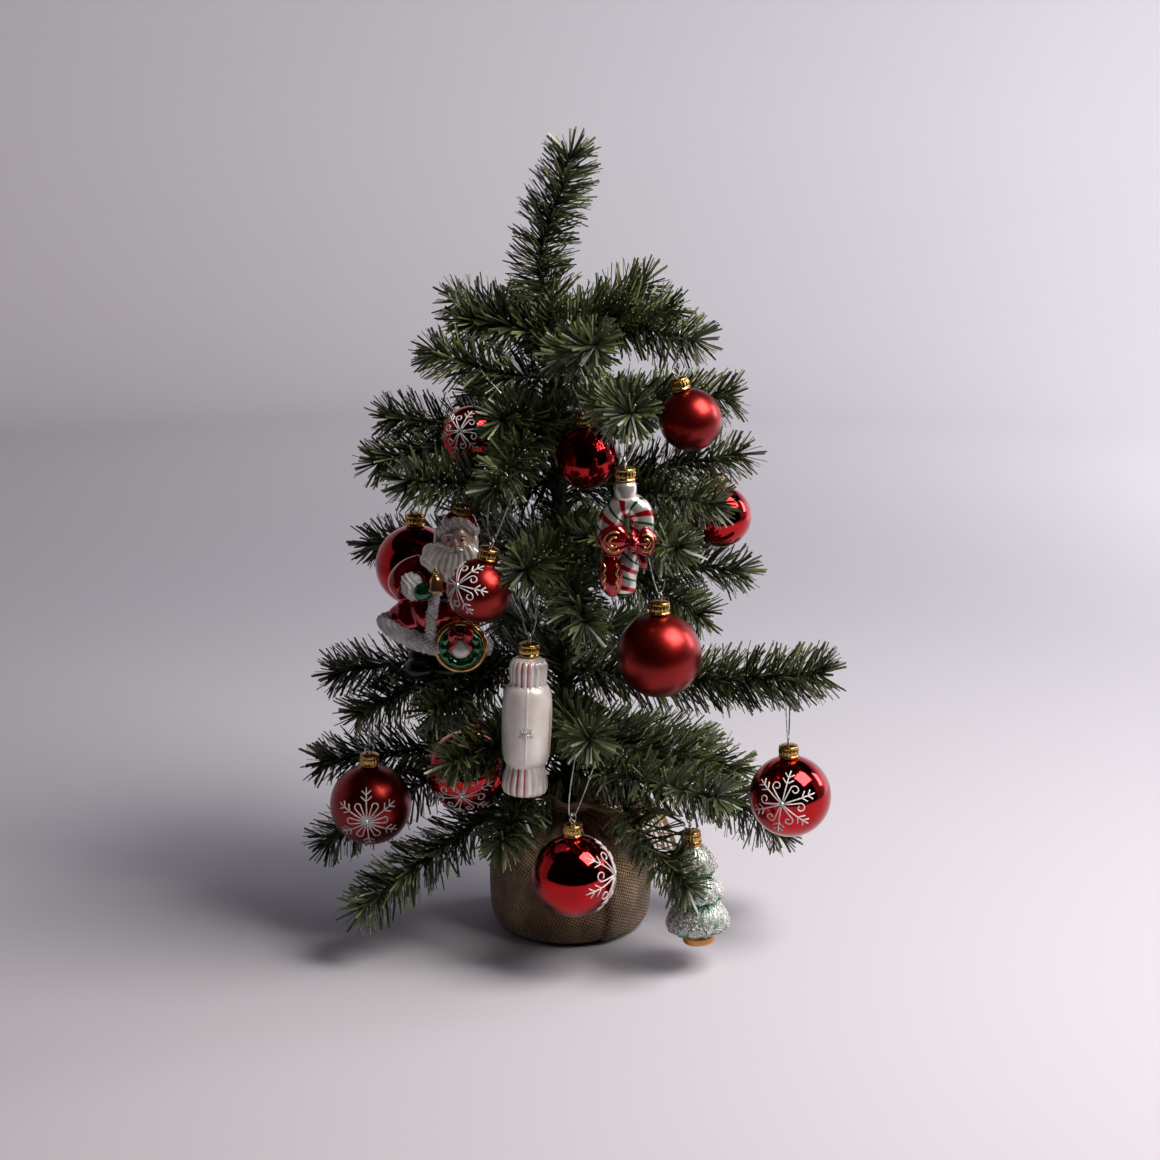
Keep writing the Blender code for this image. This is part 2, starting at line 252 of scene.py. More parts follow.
def sweep_card():
    """Studio card, matt, with light and shade painted into its colour: greyer where the lamp is near it, pale
    where it rises, darker on the left and paler on the right.
    """
    made, tree, shader = finish("graduated_card", Roughness=0.8, Specular_IOR_Level=0.1)
    place = node(tree, "ShaderNodeNewGeometry").outputs["Position"]
    parts = node(tree, "ShaderNodeSeparateXYZ", {0: place})
    flat = node(tree, "ShaderNodeVectorMath", {0: place, 1: (1.0, 1.0, 0.0)}, operation="MULTIPLY")
    far = node(tree, "ShaderNodeVectorMath", {0: flat.outputs[0]}, operation="LENGTH")
    rise = node(
        tree, "ShaderNodeMapRange",
        {"Value": far.outputs["Value"], "From Min": FLOOR_TO * MM, "From Max": SWEEP_R * MM},
        interpolation_type="SMOOTHSTEP",
    )
    # Painted light: the wall is painted darker on the left and paler on the right, as the light from the
    # right falls on it.
    side = node(
        tree, "ShaderNodeMapRange", {"Value": parts.outputs["X"], "From Min": -1.3, "From Max": 0.9}
    )
    wall = node(
        tree, "ShaderNodeMix", {0: side.outputs["Result"], 6: srgb(WALL_LEFT_PAINTED_SHADE), 7: srgb(WALL_RIGHT_PAINTED_LIGHT)},
        data_type="RGBA"
    )
    card = node(
        tree, "ShaderNodeMix", {0: rise.outputs["Result"], 6: srgb(FLOOR_PAINTED_SHADE), 7: wall.outputs[2]},
        data_type="RGBA"
    )
    front = node(
        tree, "ShaderNodeMapRange",
        {
            "Value": parts.outputs["Y"], "From Min": (DARK_FROM - 60) * MM, "From Max": DARK_FROM * MM,
            "To Min": 1.0, "To Max": 0.0
        },
    )
    ray = node(tree, "ShaderNodeLightPath")
    unseen = node(tree, "ShaderNodeMath", {0: 1.0, 1: ray.outputs["Is Camera Ray"]}, operation="SUBTRACT")
    dark = node(
        tree, "ShaderNodeMath", {0: front.outputs["Result"], 1: unseen.outputs[0]}, operation="MULTIPLY"
    )
    # Painted shade: in front the card is painted near-black for every ray but the camera's, standing in for
    # the unlit studio on the camera's side.
    colour = node(
        tree, "ShaderNodeMix", {0: dark.outputs[0], 6: card.outputs[2], 7: srgb("#15121a")},
        data_type="RGBA"
    )
    tree.links.new(colour.outputs[2], shader.inputs["Base Color"])
    return made


def sweep_profile():
    flat = [(r, 0.0) for r in (0.0, 150, 400, 900, SWEEP_R)]
    bend = [
        (SWEEP_R + SWEEP_BEND * math.sin(a), SWEEP_BEND * (1 - math.cos(a)))
        for a in np.linspace(0, math.pi / 2, 12)[1:]
    ]
    return flat + bend + [(SWEEP_R + SWEEP_BEND, SWEEP_TOP)]


profile = sweep_profile()
turns = np.linspace(0, 2 * math.pi, 97)[:-1]
sweep_points = [(r * math.cos(a), r * math.sin(a), z - 0.3) for r, z in profile for a in turns]
sweep = mesh_object("sweep", sweep_points, grid_faces(len(profile), len(turns)), sweep_card())
print("sweep", SWEEP_R + SWEEP_BEND, "mm from its middle")


# %% Lights
def soft_light(name, way, distance, size, power, colour, aim):
    """A square soft light that looks at its aim from that way."""
    lamp = bpy.data.lights.new(name, "AREA")
    lamp.shape, lamp.size, lamp.energy, lamp.color = "SQUARE", size * MM, power, srgb(colour)[:3]
    holder = bpy.data.objects.new(name, lamp)
    bpy.context.scene.collection.objects.link(holder)
    holder.location = (v(*aim) + unit(v(*way)) * distance) * MM
    holder.rotation_mode = "QUATERNION"
    holder.rotation_quaternion = Vector(-unit(v(*way))).to_track_quat("-Z", "Y")


KEY_WAY = (0.60, -0.27, 0.755)
soft_light("key_softbox", KEY_WAY, 1350, 800, 34, "#fff7f0", aim=(0, 0, 260))
soft_light("wall_light", (0.58, -0.68, 0.46), 2000, 900, 33, "#fcf8ff", aim=(820, 2000, 80))

world = bpy.data.worlds.new("studio_air")
world.use_nodes = True
bpy.context.scene.world = world
air = world.node_tree
ray = node(air, "ShaderNodeLightPath").outputs
dim = node(
    air, "ShaderNodeMix", {0: ray["Is Glossy Ray"], 6: srgb("#625f66"), 7: srgb("#131115")},
    data_type="RGBA"
)
pale = node(
    air, "ShaderNodeMix", {0: ray["Is Camera Ray"], 6: dim.outputs[2], 7: srgb("#e2dee4")}, data_type="RGBA"
)
air.links.new(pale.outputs[2], air.nodes["Background"].inputs["Color"])
air.nodes["Background"].inputs["Strength"].default_value = 0.8
bpy.context.scene.view_settings.view_transform = "Standard"
print("lights", [lamp.name for lamp in bpy.data.lights])

# %% [markdown]
# ## Garland needles
# The foliage is PVC film, dull green, slit into strips and caught between two
# twisted wires. It makes a bottle brush: every strip leans towards the tip of
# its branch. Each strip is modelled, because its blunt end shows against the
# ground; a hair system would vanish from the exported mesh.

# %% Film-green PVC
def pvc_film():
    """Slit film: slightly glossy, dark and yellow greens in one garland, with painted shade that darkens each
    needle towards its root.
    """
    made, tree, shader = finish("pvc_film_green", Roughness=0.4, IOR=1.53, Specular_IOR_Level=0.7)
    tint = node(tree, "ShaderNodeAttribute", attribute_name="film_tint")
    along = node(tree, "ShaderNodeAttribute", attribute_name="film_along")
    greens = node(
        tree, "ShaderNodeValToRGB", {"Fac": tint.outputs["Fac"]},
        stops=[(0.0, "#1b230d"), (0.35, "#33411b"), (0.7, "#586435"), (1.0, "#94946c")]
    ).outputs["Color"]
    # Painted shade: a needle's colour is darkened towards its root, deep in the garland.
    painted_root_shade = node(tree, "ShaderNodeMapRange", {"Value": along.outputs["Fac"], "To Min": 0.35, "To Max": 1.1})
    shade = node(
        tree, "ShaderNodeMix", {0: 1.0, 6: greens, 7: painted_root_shade.outputs["Result"]}, data_type="RGBA",
        blend_type="MULTIPLY"
    )
    tree.links.new(shade.outputs[2], shader.inputs["Base Color"])
    where = node(tree, "ShaderNodeTexCoord")
    streaks = node(tree, "ShaderNodeTexNoise", {"Vector": where.outputs["Object"], "Scale": 900.0})
    bump = node(
        tree, "ShaderNodeBump", {"Height": streaks.outputs["Fac"], "Strength": 0.25, "Distance": 0.0003}
    )
    tree.links.new(bump.outputs["Normal"], shader.inputs["Normal"])
    return made


FILM = pvc_film()

# %% Where every branch runs
# A branch's root is its joint. An arm is (tip, how far its middle bows, where it leaves the first arm).
BRANCH_ARMS = {
    "branch_01": [((-84, 4, 458), (0, 0, 4), 0), ((-88, 46, 468), (0, 8, 4), 0.28)],
    "branch_02": [((-101, -16, 441), (0, 0, -10), 0)],
    "branch_03": [
        ((60, 34, 484), (0, 0, 2), 0), ((78, 0, 466), (0, 0, 0), 0.25), ((95, -24, 446), (4, -4, 2), 0.22)
    ],
    "branch_04": [((20, -95, 455), (0, 0, -4), 0)],
    "branch_05": [((-38, 88, 462), (0, 0, 4), 0), ((48, 90, 452), (6, 6, 2), 0.2)],
    "branch_06": [((-137, 16, 386), (0, 0, 2), 0), ((-147, 12, 351), (0, 0, 2), 0.22)],
    "branch_07": [((-118, -82, 358), (0, 0, 0), 0)],
    "branch_08": [((-50, -76, 399), (-2, 0, 4), 0), ((-52, -113, 356), (4, 0, 4), 0.25)],
    "branch_09": [((123, 8, 402), (0, 6, 2), 0), ((43, -123, 411), (6, -8, 3), 0.16)],
    "branch_10": [((129, 0, 362), (0, 4, 6), 0), ((108, -54, 335), (0, -6, 0), 0.2)],
    "branch_11": [
        ((20, 126, 382), (0, 0, 6), 0), ((-78, 100, 392), (-8, 4, 4), 0.2), ((92, 84, 394), (8, 4, 4), 0.2)
    ],
    "branch_12": [((-158, 80, 276), (0, 8, 4), 0)],
    "branch_13": [((-32, -113, 301), (0, 0, 4), 0), ((12, -118, 262), (4, 0, 2), 0.2)],
    "branch_14": [((131, 2, 273), (0, 2, 6), 0), ((101, -28, 244), (0, -2, 2), 0.22)],
    "branch_15": [((80, -108, 316), (0, 0, 2), 0)],
    "branch_16": [
        ((14, 142, 276), (0, 0, 8), 0), ((-92, 110, 296), (-8, 4, 4), 0.18),
        ((112, 78, 290), (8, 4, 4), 0.18)
    ],
    "branch_17": [
        ((-179, -10, 198), (0, 4, 8), 0), ((-160, -40, 174), (0, 0, 4), 0.28),
        ((-102, -76, 186), (2, -2, 2), 0.2)
    ],
    "branch_18": [((186, -58, 214), (0, 0, -14), 0)],
    "branch_19": [((16, -122, 182), (0, 0, 2), 0), ((-88, -104, 158), (0, -2, 4), 0.2)],
    "branch_20": [((-64, 136, 214), (0, 0, 6), 0), ((86, 122, 204), (8, 4, 4), 0.18)],
    "branch_21": [((-193, 12, 121), (0, 2, 8), 0), ((-190, 6, 58), (0, 0, 4), 0.25)],
    "branch_22": [((-155, -88, 40), (0, 0, 14), 0), ((-50, -88, 90), (0, 0, 6), 0.18)],
    "branch_23": [((164, 4, 66), (0, 2, 14), 0), ((134, 30, 108), (0, 2, 6), 0.25)],
    "branch_24": [((109, -111, 136), (0, 0, 2), 0), ((102, -130, 58), (-14, -20, 4), 0.22)],
    "branch_25": [
        ((8, 138, 112), (0, 0, 10), 0), ((-108, 96, 118), (-6, 6, 8), 0.18),
        ((112, 88, 108), (6, 6, 8), 0.18)
    ],
}
LEADER = [(0, 7.0), (-9, 34), (-3, 66), (9, 96), (16, 130)]  # sideways and up from the top of the trunk


# %% Lines along the arms
def bezier(a, b, c, t):
    t = np.asarray(t, float)[..., None]
    return (1 - t) ** 2 * a + 2 * t * (1 - t) * b + t * t * c


def gone_along(line):
    """How far along a line each of its points is."""
    return np.concatenate([[0], np.cumsum(np.linalg.norm(np.diff(line, axis=0), axis=1))])


def resampled(line, at):
    """Points of a line at given distances along it."""
    gone = gone_along(line)
    return np.stack([np.interp(at, gone, line[:, k]) for k in range(3)], axis=1)


TIP = 8.0  # the last needles reach this far past the wire's end
LONG_TIP = {("branch_24", 1): 28.0, ("leader", 0): 19.0}


def trimmed(line, branch, arm):
    """An arm without the stretch that its last needles stand for."""
    return resampled(
        line, np.linspace(0, gone_along(line)[-1] - LONG_TIP.get((branch, arm), TIP), len(line))
    )


def arm_lines(branch, steps=40):
    """The centreline of each arm of a branch, in millimetres."""
    root = v(*JOINTS[branch]["pos_m"]) / MM
    curves = []
    for tip, bow, leaves in BRANCH_ARMS[branch]:
        start = bezier(*curves[0], leaves) if curves else root
        curves.append((start, (start + v(*tip)) / 2 + v(*bow), v(*tip)))
    return [trimmed(bezier(*curve, np.linspace(0, 1, steps)), branch, k) for k, curve in enumerate(curves)]


def leader_line():
    top = v(*JOINTS["leader"]["pos_m"]) / MM
    lead = np.array([v(top[0] + x, 0, top[2] - LEADER[0][1] + z) for x, z in LEADER])
    return trimmed(smooth_path(lead, 15), "leader", 0)


print("arms", sum(len(arms) for arms in BRANCH_ARMS.values()), "leader ends at", leader_line()[-1].round(1))

# %% What the needles give way to
# name: (centre, (sideways tilt, forward nod) in degrees, shape)
ORNAMENTS = {
    "bauble_01": ((86, -26, 391), (-18, 0), "small"),
    "bauble_02": ((12, -48, 368), (-3, 0), "small"),
    "bauble_03": ((110, -4, 316), (-12, 0), "small"),
    "bauble_04": ((63, -85, 234), (0, 0), "large"),
    "bauble_05": ((161, -50, 117), (-3, 0), "large"),
    "bauble_06": ((3, -103, 76), (-1, 0), "large"),
    "bauble_07": ((-147, -37, 106), (0, 0), "large"),
    "bauble_08": ((-75, -44, 134), (12, 0), "large"),
    "bauble_09": ((-62, -98, 284), (14, 0), "small"),
    "bauble_10": ((-114, 9, 276), (0, 0), "large"),
    "bauble_11": ((-70, -24, 378), (62, 0), "small"),
    "cane": ((38, -104, 321), (0, 0), "cane"),
    "candy": ((-30, -96, 188), (2, 0), "candy"),
    "snowy_tree": ((90, -89, 63), (-5, 0), "fir"),
    "santa": ((-90, -54, 272), (8, 0), "santa"),
}
# shape: height where the cap sits, sideways place of the cap, and balls (sideways, up, radius) that hold
# the shape
SHAPES = {
    "small": (22.1, 0, [(0, 0, 22.5)]),
    "large": (29.8, 0, [(0, 0, 30.0)]),
    "cane": (41.5, 0, [(-4, -38, 12), (-4, -26, 13), (-3, -13, 15), (0, 4, 20), (0, 18, 20), (0, 32, 12)]),
    "candy": (
        48.5, 0,
        [(0, -44, 17), (0, -28, 17), (0, -12, 18), (0, 4, 18), (0, 18, 18), (0, 34, 14), (0, 44, 12)]
    ),
    "fir": (32.5, 0, [(0, -34, 14), (0, -24, 22), (0, -8, 19), (0, 8, 16), (0, 24, 12)]),
    "santa": (
        55.5, 6,
        [
            (-5, -54, 18), (-36, -28, 12), (-22, -34, 17), (16, -36, 21), (-4, -14, 28), (-6, 4, 29),
            (2, 22, 24), (5, 40, 18), (6, 50, 13)
        ]
    ),
}


# %% Where the ornaments hang
def set_of(name):
    """An ornament's centre, and its ways right, back and up."""
    centre, (tilt, nod), _ = ORNAMENTS[name]
    up = unit(v(math.sin(math.radians(tilt)), math.sin(math.radians(nod)), math.cos(math.radians(tilt))))
    right = unit(v(1, 0, 0) - up * up[0])
    return v(*centre), right, np.cross(up, right), up


def kept_clear():
    """Balls round every ornament and its cap that no needle enters."""
    balls = []
    for name, (_, _, shape) in ORNAMENTS.items():
        centre, right, _, up = set_of(name)
        seat, aside, held = SHAPES[shape]
        balls += [(centre + right * x + up * z, r + 1.0) for x, z, r in held]
        balls.append((centre + right * aside + up * (seat + 6), 9.0))
    return np.array([c for c, _ in balls]), np.array([r for _, r in balls])


BALLS, BALL_R = kept_clear()

# %% Grow the needles
NEEDLES_PER_MM = 4.0
NEEDLE_WIDE = 1.8
NEEDLE_THICK = 0.4
NEEDLE_ROWS = np.array([0.0, 0.35, 0.7, 1.0])


def pushed_out(points):
    """Moves points that lie in an ornament's ball to its surface."""
    flat = points.reshape(-1, 3)
    for centre, radius in zip(BALLS, BALL_R):
        away = flat - centre
        far = np.linalg.norm(away, axis=1)
        inside = far < radius
        flat[inside] = centre + away[inside] * (radius / np.maximum(far[inside], 1e-6))[:, None]
    flat[:, 2] = np.maximum(flat[:, 2], 1.2)
    return flat.reshape(points.shape)


def combed(points, centre, radius):
    """Moves points aside from a gap that runs forwards and up from its centre."""
    flat = points.reshape(-1, 3)
    away = flat - centre
    along = away @ GAP_WAY
    aside = away - along[:, None] * GAP_WAY
    far = np.linalg.norm(aside, axis=1)
    inside = (far < radius) & (along > -5)
    flat[inside] += aside[inside] * (radius / np.maximum(far[inside], 1e-6) - 1)[:, None]
    return flat.reshape(points.shape)


# %% The needles of one arm
def needles(line, rng, reach=25.0, skip=0.0, burst=20, lean=64, per_mm=NEEDLES_PER_MM, gap=None):
    """Points (needle, row, corner), and each needle's tint, for one arm of garland."""
    gone = gone_along(line)
    whole = gone[-1]
    count = int(whole * (1 - skip) * per_mm)
    at = np.concatenate(
        [
            whole * (skip + (1 - skip) * (np.arange(count) + rng.random(count)) / count),
            np.full(burst, whole)
        ]
    )
    count += burst
    base = resampled(line, at)
    way = unit(np.stack([np.interp(at, gone, np.gradient(line[:, k], gone)) for k in range(3)], axis=1))
    side = unit(np.cross(way, v(0.13, 0.21, 0.97)))
    other = np.cross(way, side)
    turn = rng.uniform(0, 2 * math.pi, count)
    out = np.cos(turn)[:, None] * side + np.sin(turn)[:, None] * other
    to_tip = np.clip((whole - at) / 22, 0, 1)
    lean = np.radians(lean - 8 + 8 * to_tip + rng.normal(0, 8, count))
    lean[-burst:] = np.arccos(rng.uniform(0.25, 1.0, burst))
    long = reach * (0.8 + 0.2 * to_tip) * rng.uniform(0.82, 1.08, count)
    long[rng.random(count) < 0.06] *= 0.6
    curl = np.radians(rng.normal(3, 4, count))
    middle = []
    for row in NEEDLE_ROWS:
        a = (lean - curl * row)[:, None]
        middle.append(base + (row * long)[:, None] * (np.cos(a) * way + np.sin(a) * out))
    middle = pushed_out(np.stack(middle, axis=1))
    if gap:
        middle[:, 1:] = combed(middle[:, 1:].copy(), *gap)
    ahead = unit(np.gradient(middle, axis=1))
    roll = rng.uniform(-1.1, 1.1, count)[:, None, None]
    flat = unit(np.cross(ahead, out[:, None, :]))
    up = np.cross(flat, ahead)
    wide = flat * np.cos(roll) + up * np.sin(roll)
    thick = np.cross(wide, ahead)
    half = (
        NEEDLE_WIDE / 2 * rng.uniform(0.75, 1.15, count)
    )[:, None, None] * v(0.8, 1.0, 1.0, 0.82)[None, :, None]
    corners = np.stack([middle - wide * half, middle + wide * half, middle + thick * NEEDLE_THICK], axis=2)
    return corners, rng.random(count)


def needle_faces(count):
    one = []
    rows = len(NEEDLE_ROWS)
    for r in range(rows - 1):
        for c in range(3):
            d = (c + 1) % 3
            one.append((r * 3 + c, r * 3 + 3 + c, r * 3 + 3 + d, r * 3 + d))
    quads = np.array(one)
    ends = np.array([(0, 1, 2), (rows * 3 - 1, rows * 3 - 2, rows * 3 - 3)])
    shift = (np.arange(count) * rows * 3)[:, None, None]
    return (quads + shift).reshape(-1, 4), (ends + shift).reshape(-1, 3)


# %% One garland
def garland(name, line, body, seed, tone=0.0, **shape):
    """All the needles of one arm, as one piece."""
    rng = np.random.default_rng(seed)
    corners, tint = needles(line, rng, **shape)
    count, rows = corners.shape[:2]
    quads, ends = needle_faces(count)
    piece = mesh_object(name, corners.reshape(-1, 3), quads.tolist() + ends.tolist(), FILM, smooth=False)
    drift = 0.5 + 0.5 * np.sin(np.arange(count) / 23 + seed)
    shade = np.clip(0.62 * tint + 0.3 * drift + tone, 0, 1)
    for label, values in (
        ("film_tint", np.repeat(shade, rows * 3)), ("film_along", np.tile(np.repeat(NEEDLE_ROWS, 3), count))
    ):
        piece.data.attributes.new(label, "FLOAT", "POINT").data.foreach_set(
            "value", values.astype(np.float32)
        )
    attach(piece, body)
    return piece


# %% All the garlands
GAP_WAY = unit(v(0, -0.97, 0.24))
CORNER = (v(67, -26, 86), 17.0)  # the sack's loose corner shows between the needles of branch_24
UNLIKE = {
    ("branch_18", 0): dict(reach=29.0, per_mm=5.4),
    ("branch_24", 0): dict(reach=26.0, gap=CORNER),
    ("branch_24", 1): dict(skip=0.3, reach=25.0, gap=CORNER),
    ("branch_23", 0): dict(reach=27.0, gap=CORNER),
    ("branch_23", 1): dict(reach=27.0, gap=CORNER),
}


def grow_foliage():
    total = 0
    for number, branch in enumerate(BRANCH_ARMS):
        for k, line in enumerate(arm_lines(branch)):
            shape = dict(skip=0.03 * (k > 0), reach=27.0) | UNLIKE.get((branch, k), {})
            piece = garland(f"{branch}_needles_{k + 1}", line, branch, 100 + 10 * number + k, **shape)
            if k == 0:
                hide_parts(branch)
            total += len(piece.data.polygons)
    top = garland("leader_needles", leader_line(), "leader", 7, reach=27.0, burst=34, lean=70, per_mm=5.2)
    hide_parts("leader")
    print("needle faces", total + len(top.data.polygons))


grow_foliage()

# %% [markdown]
# ## Branch wires and the trunk
# Under the needles every arm is two soft iron wires twisted together, dark
# with the film's dust. The trunk is the bundle of all the branches' wires,
# wound with a strip of crepe paper, so it shows a slanting ridge at each turn.

# %% Twisted wire
WIRE_R = 0.75
WIRE_PITCH = 9.0


def twisted(line, pitch=WIRE_PITCH, strand=WIRE_R, sides=5):
    """Two strands wound round each other along a line."""
    whole = gone_along(line)[-1]
    at = np.linspace(0, whole, max(8, int(whole / 1.5)))
    middle = resampled(line, at)
    way = unit(np.gradient(middle, axis=0))
    side = unit(np.cross(way, v(0.13, 0.21, 0.97)))
    other = np.cross(way, side)
    turn = (at / pitch * 2 * math.pi)[:, None]
    off = np.cos(turn) * side + np.sin(turn) * other
    return gathered([tube(middle + strand * s * off, strand, sides) for s in (1, -1)])


# Soft iron wire with a thin green lacquer: dark, a little shiny along the twist.
DUST = ("ShaderNodeTexNoise", "Fac", {"Scale": 420.0, "Detail": 3.0})
WIRE_GREENS = [(0.35, "#16220f"), (0.6, "#26361c"), (0.75, "#4d5148")]
WIRE = mottled("green_lacquered_wire", WIRE_GREENS, DUST, Roughness=0.42, Metallic=0.35)


def wire_branches():
    for branch in BRANCH_ARMS:
        lines = arm_lines(branch)
        root, second = lines[0][0], lines[0][3]
        lines[0] = np.vstack([root - unit(second - root) * 3.0, lines[0]])
        piece = mesh_object(f"{branch}_wire", *gathered([twisted(line) for line in lines]), WIRE)
        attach(piece, branch)
    piece = mesh_object("leader_wire", *twisted(leader_line()), WIRE)
    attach(piece, "leader")


wire_branches()
print("wire", 2 * WIRE_R, "mm thick, one turn in", WIRE_PITCH, "mm")


# %% [markdown]
# ### The trunk's paper
# The strip of paper is wound up the trunk with a small overlap. Each turn's
# edge is a ridge that climbs as it goes round, which is a saw-tooth in the
# radius. A garland is wound up it too, and hides where the branches are tied.

# %% The trunk's paper wrap
# Crepe paper: matt, finely ribbed across the strip, dark green going brown where it is rubbed.
RUBBED = ("ShaderNodeTexNoise", "Fac", {"Scale": 60.0, "Detail": 6.0, "Roughness": 0.7})
RIBS = ("ShaderNodeTexWave", "Fac", {"Scale": 300.0, "Distortion": 6.0, "Detail": 2.0})
CREPE = mottled(
    "green_crepe_paper", [(0.3, "#141c10"), (0.55, "#29351d"), (0.72, "#4a3f2c")], RUBBED,
    relief=(RIBS, 0.6, 0.0004), Roughness=0.85, Specular_IOR_Level=0.25,
)
WRAP_PITCH = 11.0


def trunk_axis(z):
    """The trunk stands upright in its weight and leans above it."""
    lean = (JOINTS["leader"]["pos_m"][0] / MM) / (JOINTS["leader"]["pos_m"][2] / MM - 76.0)
    return v(lean * max(0.0, z - 76.0), 0, z)


# %% Wrap and dress the trunk
def wrapped_trunk():
    low, high = (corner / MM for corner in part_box("trunk_pole"))
    radius = (high[1] - low[1]) / 2
    heights = np.arange(low[2], high[2] + 3, 1.1)
    rows, sides = len(heights), 40
    points = []
    for z in heights:
        for k in range(sides):
            a = 2 * math.pi * k / sides
            ridge = ((z / WRAP_PITCH + k / sides) % 1.0) ** 3
            lump = 0.35 * math.sin(3 * a + z / 9) + 0.25 * math.sin(5 * a - z / 13)
            r = radius - 0.8 + 0.8 * ridge + 0.5 * lump - (1.5 if z > high[2] - 4 else 0)
            points.append(trunk_axis(z) + v(r * math.cos(a), r * math.sin(a), 0))
    points += [trunk_axis(heights[0]), trunk_axis(heights[-1])]
    piece = mesh_object("trunk_wrap", points, skin_faces(rows, sides), CREPE)
    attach(piece, "stand")
    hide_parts("trunk_pole")


def dress_trunk():
    """A garland wound up the trunk, which hides where the branches are tied in."""
    line = np.array([trunk_axis(z) for z in np.linspace(108, 466, 60)])
    garland("trunk_needles", line, "stand", 3, tone=-0.12, reach=24.0, burst=6, lean=60, per_mm=4.0)


wrapped_trunk()
dress_trunk()
print("trunk wrapped and dressed")

# %% [markdown]
# ## The burlap sack
# The foot is a round cement weight in a jute sack. Jute is woven open, about
# one thread in 2.3 mm, from unevenly spun yarn. The belly is a gathered sheet
# with soft folds; the loose collar above the tie is really open, so it is
# woven here thread by thread.

# %% Burlap and cement
THREAD_GAP = 2.3  # from one thread to the next


def jute(name, woven):
    """Jute yarn: dry and hairy, tan with darker and paler lengths; woven adds the cloth's over and under,
    with painted shade in the gaps between threads and where a thread dips under.
    """
    made, tree, shader = finish(
        name, Roughness=0.9, Specular_IOR_Level=0.2, Sheen_Weight=0.25, Sheen_Roughness=0.5
    )
    where = node(tree, "ShaderNodeTexCoord")
    patches = node(
        tree, "ShaderNodeTexNoise",
        {"Vector": where.outputs["Object"], "Scale": 38.0, "Detail": 5.0, "Roughness": 0.65}
    )
    tan = node(
        tree, "ShaderNodeValToRGB", {"Fac": patches.outputs["Fac"]},
        stops=[(0.3, "#57412a"), (0.52, "#86694a"), (0.7, "#b8986f")]
    ).outputs["Color"]
    fibres = node(
        tree, "ShaderNodeTexNoise", {"Vector": where.outputs["Object"], "Scale": 1500.0, "Detail": 2.0}
    )
    if not woven:
        bump = node(
            tree, "ShaderNodeBump", {"Height": fibres.outputs["Fac"], "Strength": 0.5, "Distance": 0.0004}
        )
        tree.links.new(tan, shader.inputs["Base Color"])
        tree.links.new(bump.outputs["Normal"], shader.inputs["Normal"])
        return made
    cloth = node(tree, "ShaderNodeUVMap", uv_map="cloth")
    drift = node(tree, "ShaderNodeTexNoise", {"Vector": cloth.outputs["UV"], "Scale": 0.11, "Detail": 3.0})
    shift = node(
        tree, "ShaderNodeVectorMath", {0: drift.outputs["Color"], 1: (0.5, 0.5, 0.5)}, operation="SUBTRACT"
    )
    moved = node(
        tree, "ShaderNodeVectorMath", {0: shift.outputs[0], 1: (2.4, 2.4, 0.0), 2: cloth.outputs["UV"]},
        operation="MULTIPLY_ADD"
    )
    halves = node(tree, "ShaderNodeSeparateXYZ", {0: moved.outputs[0]})
    across = []
    for axis in ("X", "Y"):
        turn = node(
            tree, "ShaderNodeMath", {0: halves.outputs[axis], 1: math.pi / THREAD_GAP}, operation="MULTIPLY"
        )
        wave = node(tree, "ShaderNodeMath", {0: turn.outputs[0]}, operation="SINE")
        across.append((wave, node(tree, "ShaderNodeMath", {0: wave.outputs[0]}, operation="ABSOLUTE")))
    (warp_wave, warp), (weft_wave, weft) = across
    parity = node(
        tree, "ShaderNodeMath", {0: warp_wave.outputs[0], 1: weft_wave.outputs[0]}, operation="MULTIPLY"
    )
    over = node(
        tree, "ShaderNodeMapRange", {"Value": parity.outputs[0], "From Min": -0.25, "From Max": 0.25}
    )
    height = node(
        tree, "ShaderNodeMix", {0: over.outputs["Result"], 2: warp.outputs[0], 3: weft.outputs[0]},
        data_type="FLOAT"
    )
    least = node(tree, "ShaderNodeMath", {0: warp.outputs[0], 1: weft.outputs[0]}, operation="MAXIMUM")
    gap = node(tree, "ShaderNodeMapRange", {"Value": least.outputs[0], "From Min": 0.62, "From Max": 0.86})
    # Painted shade: the gaps between the threads are painted near-black.
    colour = node(
        tree, "ShaderNodeMix", {0: gap.outputs["Result"], 6: srgb("#120c07"), 7: tan}, data_type="RGBA"
    )
    # Painted shade: a thread is painted darker where it dips under the crossing one.
    weave_hollow_shade = node(tree, "ShaderNodeMapRange", {"Value": height.outputs[0], "To Min": 0.55, "To Max": 1.08})
    shade = node(
        tree, "ShaderNodeMix", {0: 1.0, 6: colour.outputs[2], 7: weave_hollow_shade.outputs["Result"]}, data_type="RGBA",
        blend_type="MULTIPLY"
    )
    tree.links.new(shade.outputs[2], shader.inputs["Base Color"])
    hairy = node(
        tree, "ShaderNodeMath", {0: fibres.outputs["Fac"], 1: 0.3, 2: height.outputs[0]},
        operation="MULTIPLY_ADD"
    )
    bump = node(tree, "ShaderNodeBump", {"Height": hairy.outputs[0], "Strength": 0.9, "Distance": 0.0009})
    tree.links.new(bump.outputs["Normal"], shader.inputs["Normal"])
    return made


# %% Cement
# Cast cement: grey, matt, pitted by air, with fine sand in it.
SAND = ("ShaderNodeTexNoise", "Fac", {"Scale": 220.0, "Detail": 8.0})
PITS = ("ShaderNodeTexVoronoi", "Distance", {"Scale": 260.0})
CEMENT = mottled(
    "cast_cement", [(0.3, "#77756f"), (0.55, "#98958d"), (0.75, "#b3afa6")], SAND,
    relief=(PITS, 0.5, 0.0006), Roughness=0.88, Specular_IOR_Level=0.3,
)
BURLAP, YARN = jute("jute_burlap", woven=True), jute("jute_yarn", woven=False)
weight = frame["nodes"]["base_weight"]
weight.data.materials.clear()
weight.data.materials.append(CEMENT)
print("cloth, yarn and cement")

